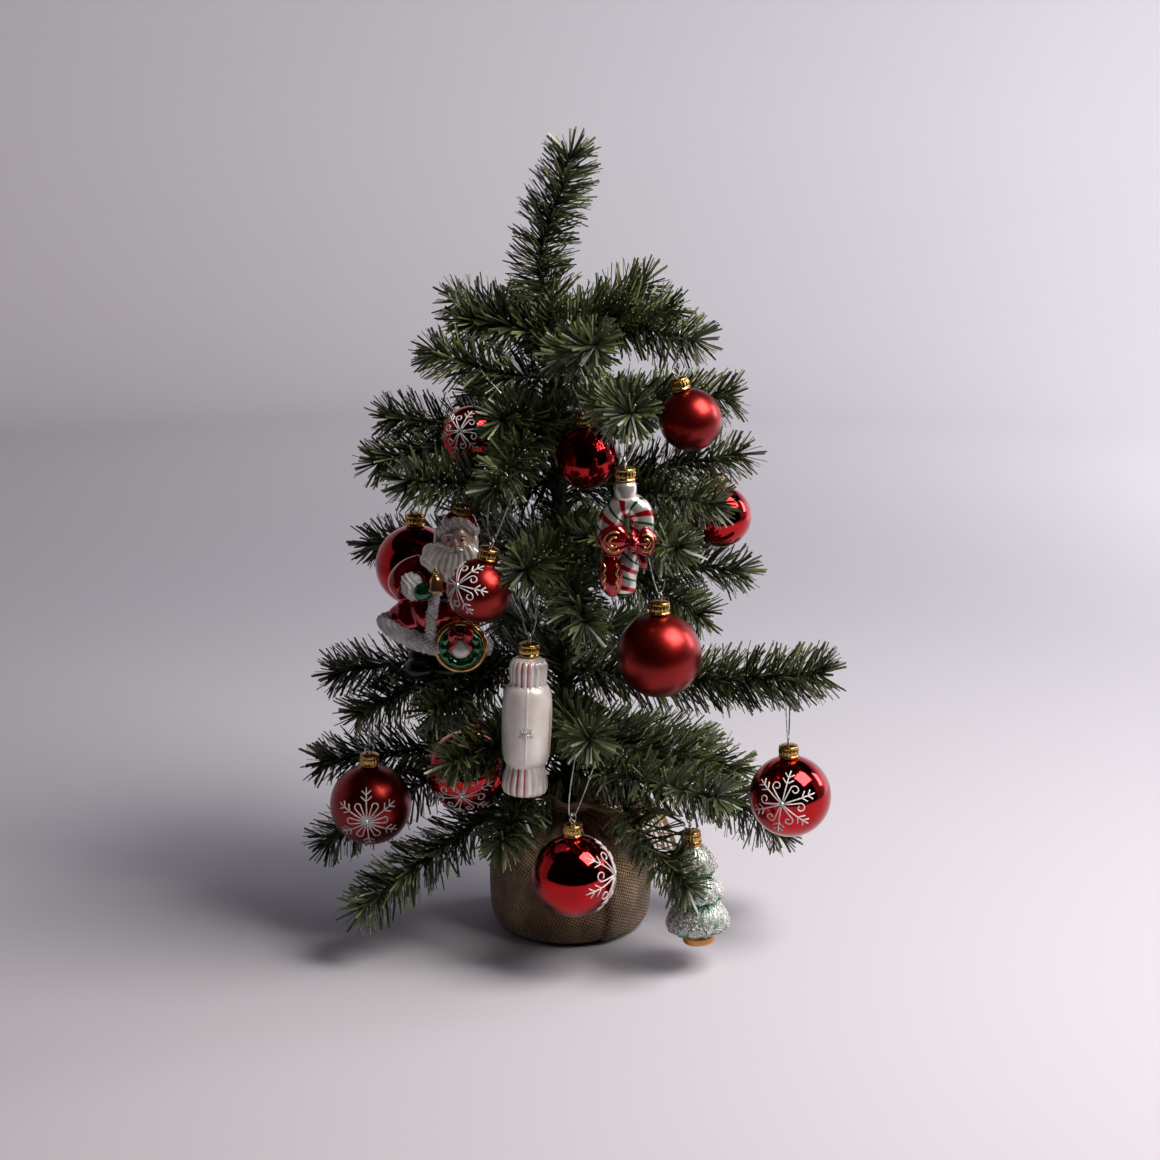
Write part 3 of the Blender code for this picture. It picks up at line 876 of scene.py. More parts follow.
# %% The sack's shape
TIE_LOW, TIE_HIGH = (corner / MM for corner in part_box("sack_tie"))
NECK_Z = (TIE_LOW[2] + TIE_HIGH[2]) / 2
NECK_R = 11.0
BELLY_R = -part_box("burlap_sack")[0][0] / MM
weight_rows = {}
for corner in weight.data.vertices:
    outline = round(corner.co.z / MM, 1)
    weight_rows[outline] = max(weight_rows.get(outline, 0), math.hypot(corner.co.x, corner.co.y) / MM)
WEIGHT_Z, WEIGHT_R = zip(*sorted((z, r) for z, r in weight_rows.items() if r > 30))
print("the weight is widest at", max(WEIGHT_R), "mm")
BELLY = [
    (0, 0.7), (24, 0.7), (44, 0.8), (52, 1.5), (57, 4.5), (60, 10), (61.3, 18), (62, 30), (61.8, 42),
    (60.5, 54), (56, 65), (47, 74), (36, 80), (24, 84.5), (15, 87.5), (NECK_R, NECK_Z)
]


def fold(turn, z):
    """How far the cloth stands in or out from a round sack."""
    up = min(1.0, max(0.0, (z - 2) / 30))
    waves = ((0.9, 3, 0.6), (0.7, 5, 2.0 + z / 30), (0.45, 9, -z / 17))
    soft = sum(height * math.sin(count * turn + start) for height, count, start in waves)
    soft = 0.75 * math.tanh(soft / 1.2) - 0.35  # it lies close on the weight
    # a tucked seam at the front right
    crease = math.degrees((turn - math.radians(-66) + math.pi) % (2 * math.pi) - math.pi)
    tuck = -5.5 * math.exp(-((crease / 1.9) ** 2)) - 1.2 * (-24 < crease < 0) * (z < 16)
    tuck += 1.6 * math.exp(-(((crease - 7) / 6) ** 2))
    return up * soft + tuck * (0.35 + 0.65 * (1 - min(1, abs(z - 26) / 60)))


# %% The sack's belly
def sack_belly():
    line = smooth_path([(r * BELLY_R / 62, 0, z) for r, z in BELLY], 3)
    gone = gone_along(line)
    sides, points, uvs = 220, [], []
    for (r, _, z), along in zip(line, gone):
        for k in range(sides):
            turn = 2 * math.pi * k / sides + math.pi / 2
            gather = min(1.0, max(0.0, (z - 58) / 22)) * min(1.0, max(0.0, (r - 8) / 16))
            pleat = gather * (1.5 * math.sin(22 * turn) + 0.9 * math.sin(13 * turn + 1))
            radius = max(0.1, r - 0.9 + (fold(turn, z) * min(1, r / 50) + pleat) * (r > 5))
            if WEIGHT_Z[0] < z < WEIGHT_Z[-1]:
                radius = max(radius, np.interp(z, WEIGHT_Z, WEIGHT_R) + 0.9)
            points.append((radius * math.cos(turn), radius * math.sin(turn), max(0.6, z + 0.4 * pleat)))
            uvs.append((2 * math.pi * BELLY_R * k / sides, along))
    piece = mesh_object("sack", points, grid_faces(len(line), sides), BURLAP)
    layer = piece.data.uv_layers.new(name="cloth")
    slant = math.radians(24)  # the cloth was wrapped askew
    for face in piece.data.polygons:
        wide = max(uvs[i][0] for i in face.vertices)
        for loop, i in zip(face.loop_indices, face.vertices):
            across, along = uvs[i]
            across += 2 * math.pi * BELLY_R * (wide - across > BELLY_R)
            layer.data[loop].uv = (
                across * math.cos(slant) - along * math.sin(slant),
                across * math.sin(slant) + along * math.cos(slant)
            )
    thick = piece.modifiers.new("cloth", "SOLIDIFY")
    thick.thickness, thick.offset = 1.0 * MM, 0
    return piece


# %% The woven collar
COLLAR_WARPS = 96
COLLAR_ROWS = 30


def collar_point(turn, t):
    """A point of the collar: turn round the neck, t from the tie (0) to the ragged edge (1)."""
    side = (math.degrees(turn) + 180) % 360 - 180
    flap = math.exp(-(((side + 20) / 27) ** 2))  # the loose corner at the right
    reach = 21 + 53 * flap + 3 * math.sin(4 * turn + 1)
    lift = 13 * math.sin(t * math.pi / 2) + flap * (15 * t - 57 * t ** 4)
    wave = (1.6 * math.sin(9 * turn + 1.5) + 1.2 * math.sin(5 * turn)) * t
    r = NECK_R + 0.6 + reach * t ** 0.9
    return v(r * math.cos(turn), r * math.sin(turn), NECK_Z + 1.5 + lift + wave)


def woven_collar(rng):
    threads = []
    ts = np.linspace(0, 1, 34)
    # twice as many in the loose corner
    warps = list(range(COLLAR_WARPS)) + [w + 0.5 for w in range(-19, 9)]
    for w in warps:
        turn = 2 * math.pi * (w + rng.uniform(-0.15, 0.15)) / COLLAR_WARPS
        end = rng.uniform(0.93, 1.06)
        over = [v(0, 0, 0.35 * math.sin(math.pi * (t * COLLAR_ROWS + w))) for t in ts]
        line = [collar_point(turn + 0.01 * math.sin(9 * t + w), t * end) + up for t, up in zip(ts, over)]
        threads.append(tube(line, rng.uniform(0.55, 0.8), 4))
    for row in range(1, COLLAR_ROWS):
        t = (row + rng.uniform(-0.15, 0.15)) / COLLAR_ROWS
        turns = np.linspace(0, 2 * math.pi, 3 * COLLAR_WARPS + 1)
        under = [v(0, 0, 0.35 * math.sin(math.pi * (a / (2 * math.pi) * COLLAR_WARPS + row))) for a in turns]
        line = [collar_point(a, t + 0.006 * math.sin(7 * a + row)) - up for a, up in zip(turns, under)]
        threads.append(tube(line, rng.uniform(0.55, 0.8), 4))
    return mesh_object("sack_collar", *gathered(threads), YARN)


sack, collar = sack_belly(), woven_collar(np.random.default_rng(5))
for piece in (sack, collar):
    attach(piece, "stand")
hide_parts("burlap_sack")


# %% [markdown]
# ## The tie
# Jute twine is two strands laid together. It goes twice round the sack's neck
# and is knotted at the back. A rope texture on a ring would look flat from the
# side, so the strands are wound round each other as two thin tubes.

# %% Twine round the neck
def sack_twine():
    """Two turns of twine, each of two strands, and a knot with short ends at the back."""
    turns = np.linspace(0, 4 * math.pi, 130)
    ring = NECK_R + 2.1
    line = np.array(
        [(ring * math.cos(a), ring * math.sin(a), NECK_Z - 1.0 + 2.0 * a / (4 * math.pi)) for a in turns]
    )
    parts = [twisted(line, pitch=5.0, strand=0.55)]
    knot = [(ring * math.cos(a), ring * math.sin(a)) for a in (math.radians(100), math.radians(104))]
    for (x, y), out in zip(knot, (1, -1)):
        end = smooth_path(
            [
                (x, y, NECK_Z), (x * 1.2, y * 1.2, NECK_Z + 1.5), (x * 1.45 + 4 * out, y * 1.4, NECK_Z - 4),
                (x * 1.5 + 7 * out, y * 1.45, NECK_Z - 9)
            ],
            6
        )
        parts.append(twisted(end, pitch=5.0, strand=0.5))
    piece = mesh_object("sack_twine", *gathered(parts), YARN)
    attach(piece, "stand")
    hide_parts("sack_tie")


sack_twine()
print("sack tied at", NECK_Z, "mm")

# %% [markdown]
# ## Blown glass balls
# Each ball is blown glass, silvered inside and lacquered red outside. The
# lacquer is either clear and glossy, which makes a red mirror, or matt, which
# spreads the light of the lamp into a soft spot. A metallic base under the
# lacquer gives both, because the silver behind the red is what reflects.

# %% Lacquers and metals
# Clear red lacquer over silvered glass: a red mirror under a colourless gloss.
FLOW = ("ShaderNodeTexNoise", "Fac", {"Scale": 45.0, "Detail": 2.0})
GLOSS = mottled(
    "gloss_red_lacquer", [(0.35, "#a2060d"), (0.65, "#b80a12")], FLOW, relief=(FLOW, 0.04, 0.002),
    Metallic=1.0, Roughness=0.06, Coat_Weight=0.3, Coat_Roughness=0.03,
)
# Matt red lacquer over silvered glass: the silver still shines through, spread wide by a fine grain.
CLOUD = ("ShaderNodeTexNoise", "Fac", {"Scale": 60.0, "Detail": 3.0})
GRAIN = ("ShaderNodeTexNoise", "Fac", {"Scale": 2600.0, "Detail": 1.0})
MATT = mottled(
    "matt_red_lacquer", [(0.35, "#7a0b0a"), (0.65, "#8b130d")], CLOUD, relief=(GRAIN, 0.06, 0.0002),
    dull=(CLOUD, 0.31, 0.37), Metallic=0.96, Coat_Weight=0.3, Coat_Roughness=0.28,
)
# Pressed aluminium dyed gold: bright on its ridges, darker where dye lies in the hollows.
WEAR = ("ShaderNodeTexNoise", "Fac", {"Scale": 520.0, "Detail": 4.0})
GOLD = mottled(
    "gold_dyed_aluminium", [(0.3, "#8f6a34"), (0.55, "#c79d5a"), (0.75, "#ecd09a")], WEAR,
    relief=(WEAR, 0.35, 0.0004), Metallic=1.0, Roughness=0.24,
)
# Tinned steel wire: grey-white, drawn smooth, with faint dull lengths.
LENGTHS = ("ShaderNodeTexNoise", "Fac", {"Scale": 300.0, "Detail": 2.0})
TINNED = mottled(
    "tinned_steel_wire", [(0.35, "#8f8f8c"), (0.65, "#d9d8d3")], LENGTHS, Metallic=1.0, Roughness=0.28
)
# White relief paste sprinkled with fine glitter while wet: matt white with glints.
FLAKE_TINTS = ("ShaderNodeTexVoronoi", "Color", {"Scale": 2400.0})
FLAKE_EDGES = ("ShaderNodeTexVoronoi", "Distance", {"Scale": 2400.0})
PASTE = mottled(
    "white_relief_paste", [(0.2, "#b9aeb0"), (0.6, "#e9e4e4"), (0.9, "#ffffff")], FLAKE_TINTS,
    relief=(FLAKE_EDGES, 0.5, 0.0004), dull=(FLAKE_EDGES, 0.25, 0.65), IOR=1.5,
)
# A small foiled glass stone, pale green.
FACETS = ("ShaderNodeTexVoronoi", "Color", {"Scale": 1400.0})
STONE = mottled(
    "pale_green_glass_stone", [(0.2, "#7fb8a8"), (0.8, "#e2fbf2")], FACETS,
    Metallic=0.85, Roughness=0.08, Coat_Weight=1.0,
)
print("lacquers, gold, wire, paste and stone")


# %% Turning a shape on its own axis
def lofted(name, rings, colour, paint=None):
    """A skin over rings of points, closed at both ends; paint is each point's place on the ramp."""
    points = list(np.concatenate(rings)) + [np.mean(rings[0], axis=0), np.mean(rings[-1], axis=0)]
    piece = mesh_object(name, points, skin_faces(len(rings), len(rings[0])), colour)
    if paint is not None:
        values = np.array([*paint, paint[0], paint[-1]], np.float32)
        piece.data.attributes.new("paint", "FLOAT", "POINT").data.foreach_set("value", values)
    return piece


def turned(name, rows, seat, colour, sides=72, shape=None, paint=None):
    """A shape turned from (radius, height, sideways) rows.

    shape and paint are functions of (radius, height, turn): the radius there, and the place on the ramp."""
    centre, right, back, up = seat
    turns = np.arange(sides) * 2 * math.pi / sides
    rings, colours = [], []
    for r, z, x in rows:
        ring = []
        for a in turns:
            radius = shape(r, z, a) if shape else r
            ring.append(
                centre + up * z + right * (x + radius * math.cos(a)) + back * (radius * math.sin(a))
            )
            colours.append(paint(r, z, a) if paint else 0.5)
        rings.append(ring)
    return lofted(name, rings, colour, colours if paint else None)


def on_ornament(piece, name, slot, *nodes):
    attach(piece, name)
    if nodes:
        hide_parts(*nodes)
    return piece


# %% Balls
NECK = 5.0  # radius of the glass neck under a cap
BALL_R_OF = {"small": 22.5, "large": 30.0}
MATT_BALLS = {"bauble_01", "bauble_04", "bauble_07", "bauble_09"}


def blow_ball(name):
    r = BALL_R_OF[ORNAMENTS[name][2]]
    joins = math.degrees(math.acos((NECK + 1.0) / r))
    rows = [
        (r * math.cos(math.radians(a)), r * math.sin(math.radians(a)), 0)
        for a in np.linspace(-89.6, joins, 46)
    ]
    top = rows[-1][1]
    rows += [(NECK + 0.35, top + 0.7, 0), (NECK, top + 1.6, 0), (NECK, r + 4.4, 0)]
    matt = name in MATT_BALLS
    ball = turned(f"{name}_ball", rows, set_of(name), MATT if matt else GLOSS)
    return on_ornament(ball, name, "matte_red_glass" if matt else "gloss_red_glass", f"{name}_glass")


for name in [n for n in ORNAMENTS if n.startswith("bauble")]:
    blow_ball(name)
print("balls", sum(n.startswith("bauble") for n in ORNAMENTS))


# %% [markdown]
# ## Caps, rings and hooks
# A cap is pressed from thin aluminium: a bead round its lip, a band of flutes
# and a low dome with two slots. A ring of springy wire sits in the slots, and
# a hook of thin wire goes through the ring and over the branch.

# %% Pressed caps
CAP_R = 7.4
FLUTES = 18


def cap_rows():
    inside = [(NECK + 0.6, 5.2, 0), (NECK + 0.6, 0.5, 0)]
    lip = [(6.4, 0.25, 0), (7.0, 0.3, 0), (CAP_R, 0.8, 0), (CAP_R, 1.4, 0), (6.9, 1.9, 0)]
    band = [(6.7 + 0.35 * math.sin(math.pi * t), 2.2 + 5.0 * t, 0) for t in np.linspace(0, 1, 9)]
    top = [
        (7.0, 7.6, 0), (7.15, 8.1, 0), (6.9, 8.6, 0), (6.1, 9.1, 0), (4.4, 9.7, 0), (2.2, 10.1, 0),
        (0.15, 10.2, 0)
    ]
    return inside + lip + band + top


def cap_shape(r, z, turn):
    if z < 0.6 and r < 6.2 or z > 9:
        return r
    flute = max(0.0, 1 - ((z - 4.7) / 3.0) ** 2)
    pearls = max(0.0, 1 - ((z - 1.1) / 0.7) ** 2) + max(0.0, 1 - ((z - 8.1) / 0.6) ** 2)
    return r + 0.42 * flute * math.cos(FLUTES * turn) * (
        1 + 0.5 * math.cos(2.1 * z)
    ) + 0.18 * pearls * math.cos(2 * FLUTES * turn)


def press_cap(name):
    seat, aside, _ = SHAPES[ORNAMENTS[name][2]]
    centre, right, back, up = set_of(name)
    base = centre + right * aside + up * seat
    cap = turned(
        f"{name}_cap", cap_rows(), (base, right, back, up), GOLD, sides=4 * FLUTES, shape=cap_shape
    )
    return on_ornament(cap, name, "gold_cap", f"{name}_hanger")


# %% Rings and hooks
RING_R = 3.5
RING_WIRE = 0.42
HOOK_WIRE = 0.5
HOOK_BEND = 6.6  # the solid's hook goes over the branch at this radius


def hash_of(name):
    """A small steady number from a name."""
    return sum(ord(letter) * (i + 1) for i, letter in enumerate(name))


def bend_ring(name):
    """One and a half turns of springy wire, with both ends in the cap's slots."""
    seat, aside, _ = SHAPES[ORNAMENTS[name][2]]
    centre, right, back, up = set_of(name)
    low = centre + right * aside + up * (seat + 9.4)
    turn = math.radians(30 + 25 * (hash_of(name) % 5))
    wide = math.cos(turn) * right + math.sin(turn) * back
    thin = np.cross(wide, up)
    line = [low - wide * 2.2 - up * 1.5, low - wide * 2.2]
    for a in np.radians(np.arange(-125, 306, 14)):
        line.append(
            low + up * (RING_R + 0.4) + RING_R * (math.sin(a) * wide + math.cos(a) * up) + thin * (a / 9)
        )
    line += [low + wide * 2.2, low + wide * 2.2 - up * 1.5]
    ring = mesh_object(f"{name}_ring", *tube(smooth_path(line, 2), RING_WIRE, 8), TINNED)
    return on_ornament(ring, name, "gold_cap")


# %% Hooks
def bend_hook(name):
    """A bow of wire through the ring: one leg goes over the branch, the other ends beside it."""
    seat, aside, _ = SHAPES[ORNAMENTS[name][2]]
    centre, right, _, up = set_of(name)
    over = v(*JOINTS[name]["pos_m"]) / MM
    across = unit(np.cross(v(0, 0, 1), v(*JOINTS[name]["axis"])))
    eye = centre + right * aside + up * (seat + 9.4 + 2 * RING_R - 1.2)
    if across @ (eye - over) < 0:
        across = -across
    z = v(0, 0, 1)
    first = [
        over + HOOK_BEND * (math.cos(a) * across + math.sin(a) * z)
        for a in np.radians([200, 170, 140, 110, 80, 50, 20, -10])
    ]
    span = np.linalg.norm(over - eye)
    lean = unit(over - eye)
    spread = min(6.0, 2.6 + span * 0.10)
    near = eye + across * spread * 0.9 + lean * span * 0.35
    far = eye - across * spread + lean * span * 0.35
    bow = [
        eye + across * 2.6 + up * 2.2, eye + across * 1.3 + up * 0.4, eye, eye - across * 1.3 + up * 0.4,
        eye - across * 2.6 + up * 2.2
    ]
    end = [far, over - across * (HOOK_BEND + 3.5) - z * 6, over - across * (HOOK_BEND + 6.5) - z * 1.5]
    if span < 12:
        bow, end = bow[:3], [eye - across * 1.5 + up * 1.5]
        near = (first[-1] + bow[0]) / 2
    hook = mesh_object(
        f"{name}_hook", *tube(smooth_path(first + [near] + bow + end, 4), HOOK_WIRE, 8), TINNED
    )
    return on_ornament(hook, name, "gold_cap")


for name in ORNAMENTS:
    press_cap(name)
    bend_ring(name)
    bend_hook(name)
print("caps, rings and hooks", len(ORNAMENTS))

# %% [markdown]
# ## Relief snowflakes
# Six of the balls carry a snowflake squeezed on in white relief paste: six
# arms with two pairs of barbs, a loop or a scroll between each two arms, and a
# small stone in the middle. It is drawn flat in millimetres and then laid on
# the ball along great circles, so its lines keep their length.

# %% The flat drawing
def flake_lines(scrolls):
    """Lines of a six-armed snowflake about 27 mm from middle to tip."""
    lines = []
    for k in range(6):
        a = k * math.pi / 3
        out, side = v(math.sin(a), math.cos(a)), v(math.cos(a), -math.sin(a))
        lines.append([out * 1.5, out * 14, out * 26.5])
        for start, size in ((15.5, 5.2), (20.5, 4.6)):
            for s in (1, -1):
                lines.append([out * start, out * (start + size * 0.72) + side * s * size * 0.85])
        b = a + math.pi / 6
        out, side = v(math.sin(b), math.cos(b)), v(math.cos(b), -math.sin(b))
        if scrolls:
            turn = [
                (14.2 + math.cos(t) * (2.9 - 0.33 * t), math.sin(t) * (2.9 - 0.33 * t))
                for t in np.arange(-1.9, 4.3, 0.45)
            ]
            lines.append([out * 1.5] + [out * x + side * y for x, y in turn])
        else:
            loop = [(13.2 + 2.5 * math.cos(t), 2.5 * math.sin(t)) for t in np.arange(-2.0, 2.1, 0.4)]
            lines.append(
                [out * 1.5 - side * 0.2] + [out * x + side * y for x, y in loop] + [out * 1.5 + side * 0.2]
            )
    return lines


# %% Snowflakes on the balls
# name: (turned to the right, raised, rolled) in degrees
FLAKES = {
    "bauble_05": (-17, 7, 9),
    "bauble_06": (73, 7, 18),
    "bauble_07": (0, -6, -2),
    "bauble_08": (-5, -18, 12),
    "bauble_09": (-43, 20, 30),
    "bauble_11": (-20, 20, 15),
}
WIDE_FLAKES = {"bauble_06": 1.18, "bauble_09": 1.2}
PASTE_WIDE = 0.5


def lay_flake(name):
    right, raised, rolled = (math.radians(a) for a in FLAKES[name])
    centre = set_of(name)[0]
    radius = BALL_R_OF[ORNAMENTS[name][2]]
    size = 0.97 * WIDE_FLAKES.get(name, 1.0) * radius / 30
    facing = v(math.sin(right) * math.cos(raised), -math.cos(right) * math.cos(raised), math.sin(raised))
    side = unit(np.cross(v(0, 0, 1), -facing) * -1)
    top = np.cross(side, facing) * -1
    if top[2] < 0:
        top = -top
    side, top = (
        math.cos(rolled) * side - math.sin(rolled) * top,
        math.sin(rolled) * side + math.cos(rolled) * top,
    )
    parts = []
    for line in flake_lines(scrolls=name not in MATT_BALLS or name == "bauble_09"):
        flat = smooth_path([(x, y, 0) for x, y in line], 4)[:, :2] * size
        far = np.linalg.norm(flat, axis=1)
        way = (flat[:, :1] * side + flat[:, 1:] * top) / far[:, None]
        on = centre + (radius + 0.12) * (
            np.cos(far / radius)[:, None] * facing + np.sin(far / radius)[:, None] * way
        )
        parts.append(tube(on, PASTE_WIDE, 6))
    flake = on_ornament(mesh_object(f"{name}_snowflake", *gathered(parts), PASTE), name, "pearl_glass")
    rows = [(0.2, -0.6, 0), (1.7, -0.2, 0), (1.75, 0.3, 0), (1.1, 1.1, 0), (0.2, 1.25, 0)]
    rows = [(r * size, z, x) for r, z, x in rows]
    stone = turned(f"{name}_stone", rows, (centre + facing * radius, side, top, facing), STONE, sides=8)
    stone.data.shade_flat()
    on_ornament(stone, name, "pearl_glass")
    return flake


for name in FLAKES:
    lay_flake(name)
print("snowflakes", len(FLAKES))

# %% [markdown]
# ## Figure ornaments
# The cane, the wrapped sweet, the fir and the bearded figure are blown into
# moulds, so each is one soft-edged glass skin, silvered inside and painted
# outside. A colour zone with its own relief is a piece of its own here. Paint
# that only changes colour, such as a stripe, is stored on the mesh as a number
# that a ramp turns into the colour.

# %% Painted lacquers
def lacquer(name, low, base, high, **sockets):
    """Lacquer over silvered glass: the mesh's paint runs from low (0) by the base (0.5) to high (1)."""
    made, tree, shader = finish(name, **{"Coat_Weight": 0.7, "Coat_Roughness": 0.08, **sockets})
    paint = node(tree, "ShaderNodeAttribute", attribute_name="paint")
    colours = node(
        tree, "ShaderNodeValToRGB", {"Fac": paint.outputs["Fac"]},
        stops=[(0.12, low), (0.38, base), (0.62, base), (0.88, high)]
    ).outputs["Color"]
    where = node(tree, "ShaderNodeTexCoord")
    cloud = node(
        tree, "ShaderNodeTexNoise", {"Vector": where.outputs["Object"], "Scale": 130.0, "Detail": 4.0}
    )
    thin = node(tree, "ShaderNodeMapRange", {"Value": cloud.outputs["Fac"], "To Min": 0.8, "To Max": 1.12})
    shade = node(
        tree, "ShaderNodeMix", {0: 1.0, 6: colours, 7: thin.outputs["Result"]}, data_type="RGBA",
        blend_type="MULTIPLY"
    )
    tree.links.new(shade.outputs[2], shader.inputs["Base Color"])
    bump = node(
        tree, "ShaderNodeBump", {"Height": cloud.outputs["Fac"], "Strength": 0.08, "Distance": 0.0015}
    )
    tree.links.new(bump.outputs["Normal"], shader.inputs["Normal"])
    return made


def plain_lacquer(name, dark, light, **sockets):
    """Lacquer of one colour, thicker and thinner in places."""
    flow = ("ShaderNodeTexNoise", "Fac", {"Scale": 160.0, "Detail": 4.0})
    sockets = {"Coat_Weight": 1.0, "Coat_Roughness": 0.05, **sockets}
    return mottled(name, [(0.35, dark), (0.65, light)], flow, relief=(flow, 0.15, 0.001), **sockets)


STRIPED = lacquer("striped_lacquer", "#0a5a39", "#dcd6cf", "#a80c15", Metallic=0.7, Roughness=0.2)
PEARL = lacquer("pearl_lacquer", "#9a9694", "#eee6e1", "#b8303a", Metallic=0.2, Roughness=0.36)
FROSTED = lacquer("frosted_green_lacquer", "#03743f", "#9aa79f", "#cf8d3f", Metallic=0.55, Roughness=0.3)
RED_LACQUER = plain_lacquer("red_lacquer", "#7d0a12", "#b3121c", Metallic=0.8, Roughness=0.14)
GREEN_LACQUER = plain_lacquer("green_lacquer", "#053a22", "#0c6b3c", Metallic=0.8, Roughness=0.12)
GOLD_LACQUER = plain_lacquer("gold_lacquer", "#a8763a", "#e0b873", Metallic=0.9, Roughness=0.22)
BLACK_LACQUER = plain_lacquer(
    "black_lacquer", "#040404", "#0b0a0c", Metallic=0.0, Roughness=0.22, Specular_IOR_Level=0.3,
    Coat_Weight=0.1
)
WHITE_PEARL = plain_lacquer("white_pearl_lacquer", "#c4beb9", "#e6e1dc", Metallic=0.3, Roughness=0.3)
FUR_WHITE = plain_lacquer(
    "matt_white_enamel", "#b3afae", "#d8d4d2", Metallic=0.05, Roughness=0.55, Coat_Weight=0.15
)
FLESH = plain_lacquer("flesh_pearl_lacquer", "#b98f84", "#d3b0a4", Metallic=0.25, Roughness=0.28)


# %% Helpers for moulded shapes
def in_place(name):
    """A function that puts (sideways, back, up) points of an ornament where it hangs."""
    centre, right, back, up = set_of(name)
    return lambda points: centre + np.asarray(points, float) @ np.stack([right, back, up])


def upright(name):
    """The same for a figure that is drawn upright."""
    centre = set_of(name)[0]
    return lambda points: centre + np.asarray(points, float)


def egg(centre, size, tilt=0.0, rows=18, sides=32):
    """An egg shape; tilt leans its top to the right, in degrees."""
    lean = math.radians(tilt)
    points = []
    for a in np.linspace(-math.pi / 2, math.pi / 2, rows)[1:-1]:
        for b in np.arange(sides) * 2 * math.pi / sides:
            x, y = size[0] * math.cos(a) * math.cos(b), size[1] * math.cos(a) * math.sin(b)
            z = size[2] * math.sin(a)
            points.append(
                (x * math.cos(lean) + z * math.sin(lean), y, z * math.cos(lean) - x * math.sin(lean))
            )
    poles = [(s * size[2] * math.sin(lean), 0, s * size[2] * math.cos(lean)) for s in (-1, 1)]
    return [v(*p) + v(*centre) for p in points + poles], skin_faces(rows - 2, sides)


def fused(name, parts, put, colour, voxel=0.6, passes=5, ripple=None):
    """Melts overlapping shapes into one soft skin, like glass in a mould; ripple then moves each point."""
    points, faces = gathered(parts)
    piece = mesh_object(name, points, faces, colour)
    skin = piece.modifiers.new("skin", "REMESH")
    skin.mode, skin.voxel_size = "VOXEL", voxel * MM
    soft = piece.modifiers.new("soft", "SMOOTH")
    soft.factor, soft.iterations = 0.5, passes
    melted = bpy.data.meshes.new_from_object(piece.evaluated_get(bpy.context.evaluated_depsgraph_get()))
    melted.name = name
    piece.modifiers.clear()
    piece.data = melted
    spots = np.empty(len(melted.vertices) * 3)
    melted.vertices.foreach_get("co", spots)
    spots = spots.reshape(-1, 3) / MM
    if ripple:
        out = np.empty(len(spots) * 3)
        melted.vertices.foreach_get("normal", out)
        spots = spots + out.reshape(-1, 3) * ripple(spots)[:, None]
    melted.vertices.foreach_set("co", (put(spots) * MM).ravel())
    melted.materials.clear()
    melted.materials.append(colour)
    melted.shade_smooth()
    melted.update()
    return piece


# %% Relief lines
def drawn(name, lines, put, colour, radius=0.5):
    """Thin relief lines."""
    parts = [tube(put(smooth_path(line, 6)), radius, 6) for line in lines]
    return mesh_object(name, *gathered(parts), colour)


# %% [markdown]
# ## The candy cane
# A glass tube bent to a crook while hot, with spiral stripes and a moulded bow.
# A curve with a bevel could be the tube, but the stripes need to know how far
# along and how far round each point is, so its rings are placed in code. The
# bow is moulded: eggs that are melted into one skin.

# %% The candy cane
CANE_R = 8.8
CANE_LINE = [
    (-10.5, -7), (-11, 3), (-9.8, 13), (-5, 21.5), (2.5, 24.8), (8.8, 21.5), (11.6, 13.5), (10.4, 4),
    (6, -6), (2, -15), (0, -25), (-1, -36), (-1, -39.5)
]
STRIPE_PITCH = 13.5


def cane_paint(gone, whole, turn):
    """Red and green stripes on white, wound round the cane, and a green foot."""
    if whole - gone < 3.5:
        return 0.0
    place = (gone / STRIPE_PITCH + turn / (2 * math.pi)) % 1.0
    red, green = abs(place - 0.28), abs(place - 0.74)
    return 0.5 + 0.5 * min(1.0, max(0.0, (0.135 - red) / 0.03)) - 0.5 * min(
        1.0, max(0.0, (0.075 - green) / 0.03)
    )


def mould_cane():
    put = in_place("cane")
    line = smooth_path([(x, 0, z) for x, z in CANE_LINE], 20)
    gone = gone_along(line)
    whole, ways = gone[-1], unit(np.gradient(line, axis=0))
    turns = np.arange(112) * 2 * math.pi / 112
    rings, paint = [], []
    for p, way, far in zip(line, ways, gone):
        side = np.cross(v(0, 1, 0), way)
        near = min(far, whole - far)
        radius = CANE_R * (math.sqrt(max(0.0, 1 - (1 - near / 6.0) ** 2)) if near < 6 else 1.0)
        radius = max(0.3, radius - 0.35 * (1 + math.cos(2 * math.pi * far / STRIPE_PITCH)) / 2)
        rings.append(
            put([p + radius * (math.cos(a) * side + 0.95 * math.sin(a) * v(0, 1, 0)) for a in turns])
        )
        paint += [cane_paint(far, whole, a) for a in turns]
    on_ornament(lofted("cane_stick", rings, STRIPED, paint), "cane", "pearl_glass", "cane_glass")
    neck = [
        (7.2, 28, 0.5), (7.6, 31, 0.4), (7.9, 35, 0.2), (7.9, 38.5, 0), (7.2, 40.6, 0), (NECK, 41.4, 0),
        (NECK, 46, 0)
    ]
    on_ornament(
        turned("cane_neck", neck, set_of("cane"), STRIPED, paint=lambda r, z, a: 0.5), "cane", "pearl_glass"
    )


# %% The cane's bow
def front_of(blob, x, z, proud=0.15):
    """The point of an egg's front face at (x, z)."""
    (cx, cy, cz), (sx, sy, sz) = blob
    left = max(0.0, 1 - ((x - cx) / sx) ** 2 - ((z - cz) / sz) ** 2)
    return v(x, cy - sy * math.sqrt(left) - proud, z)


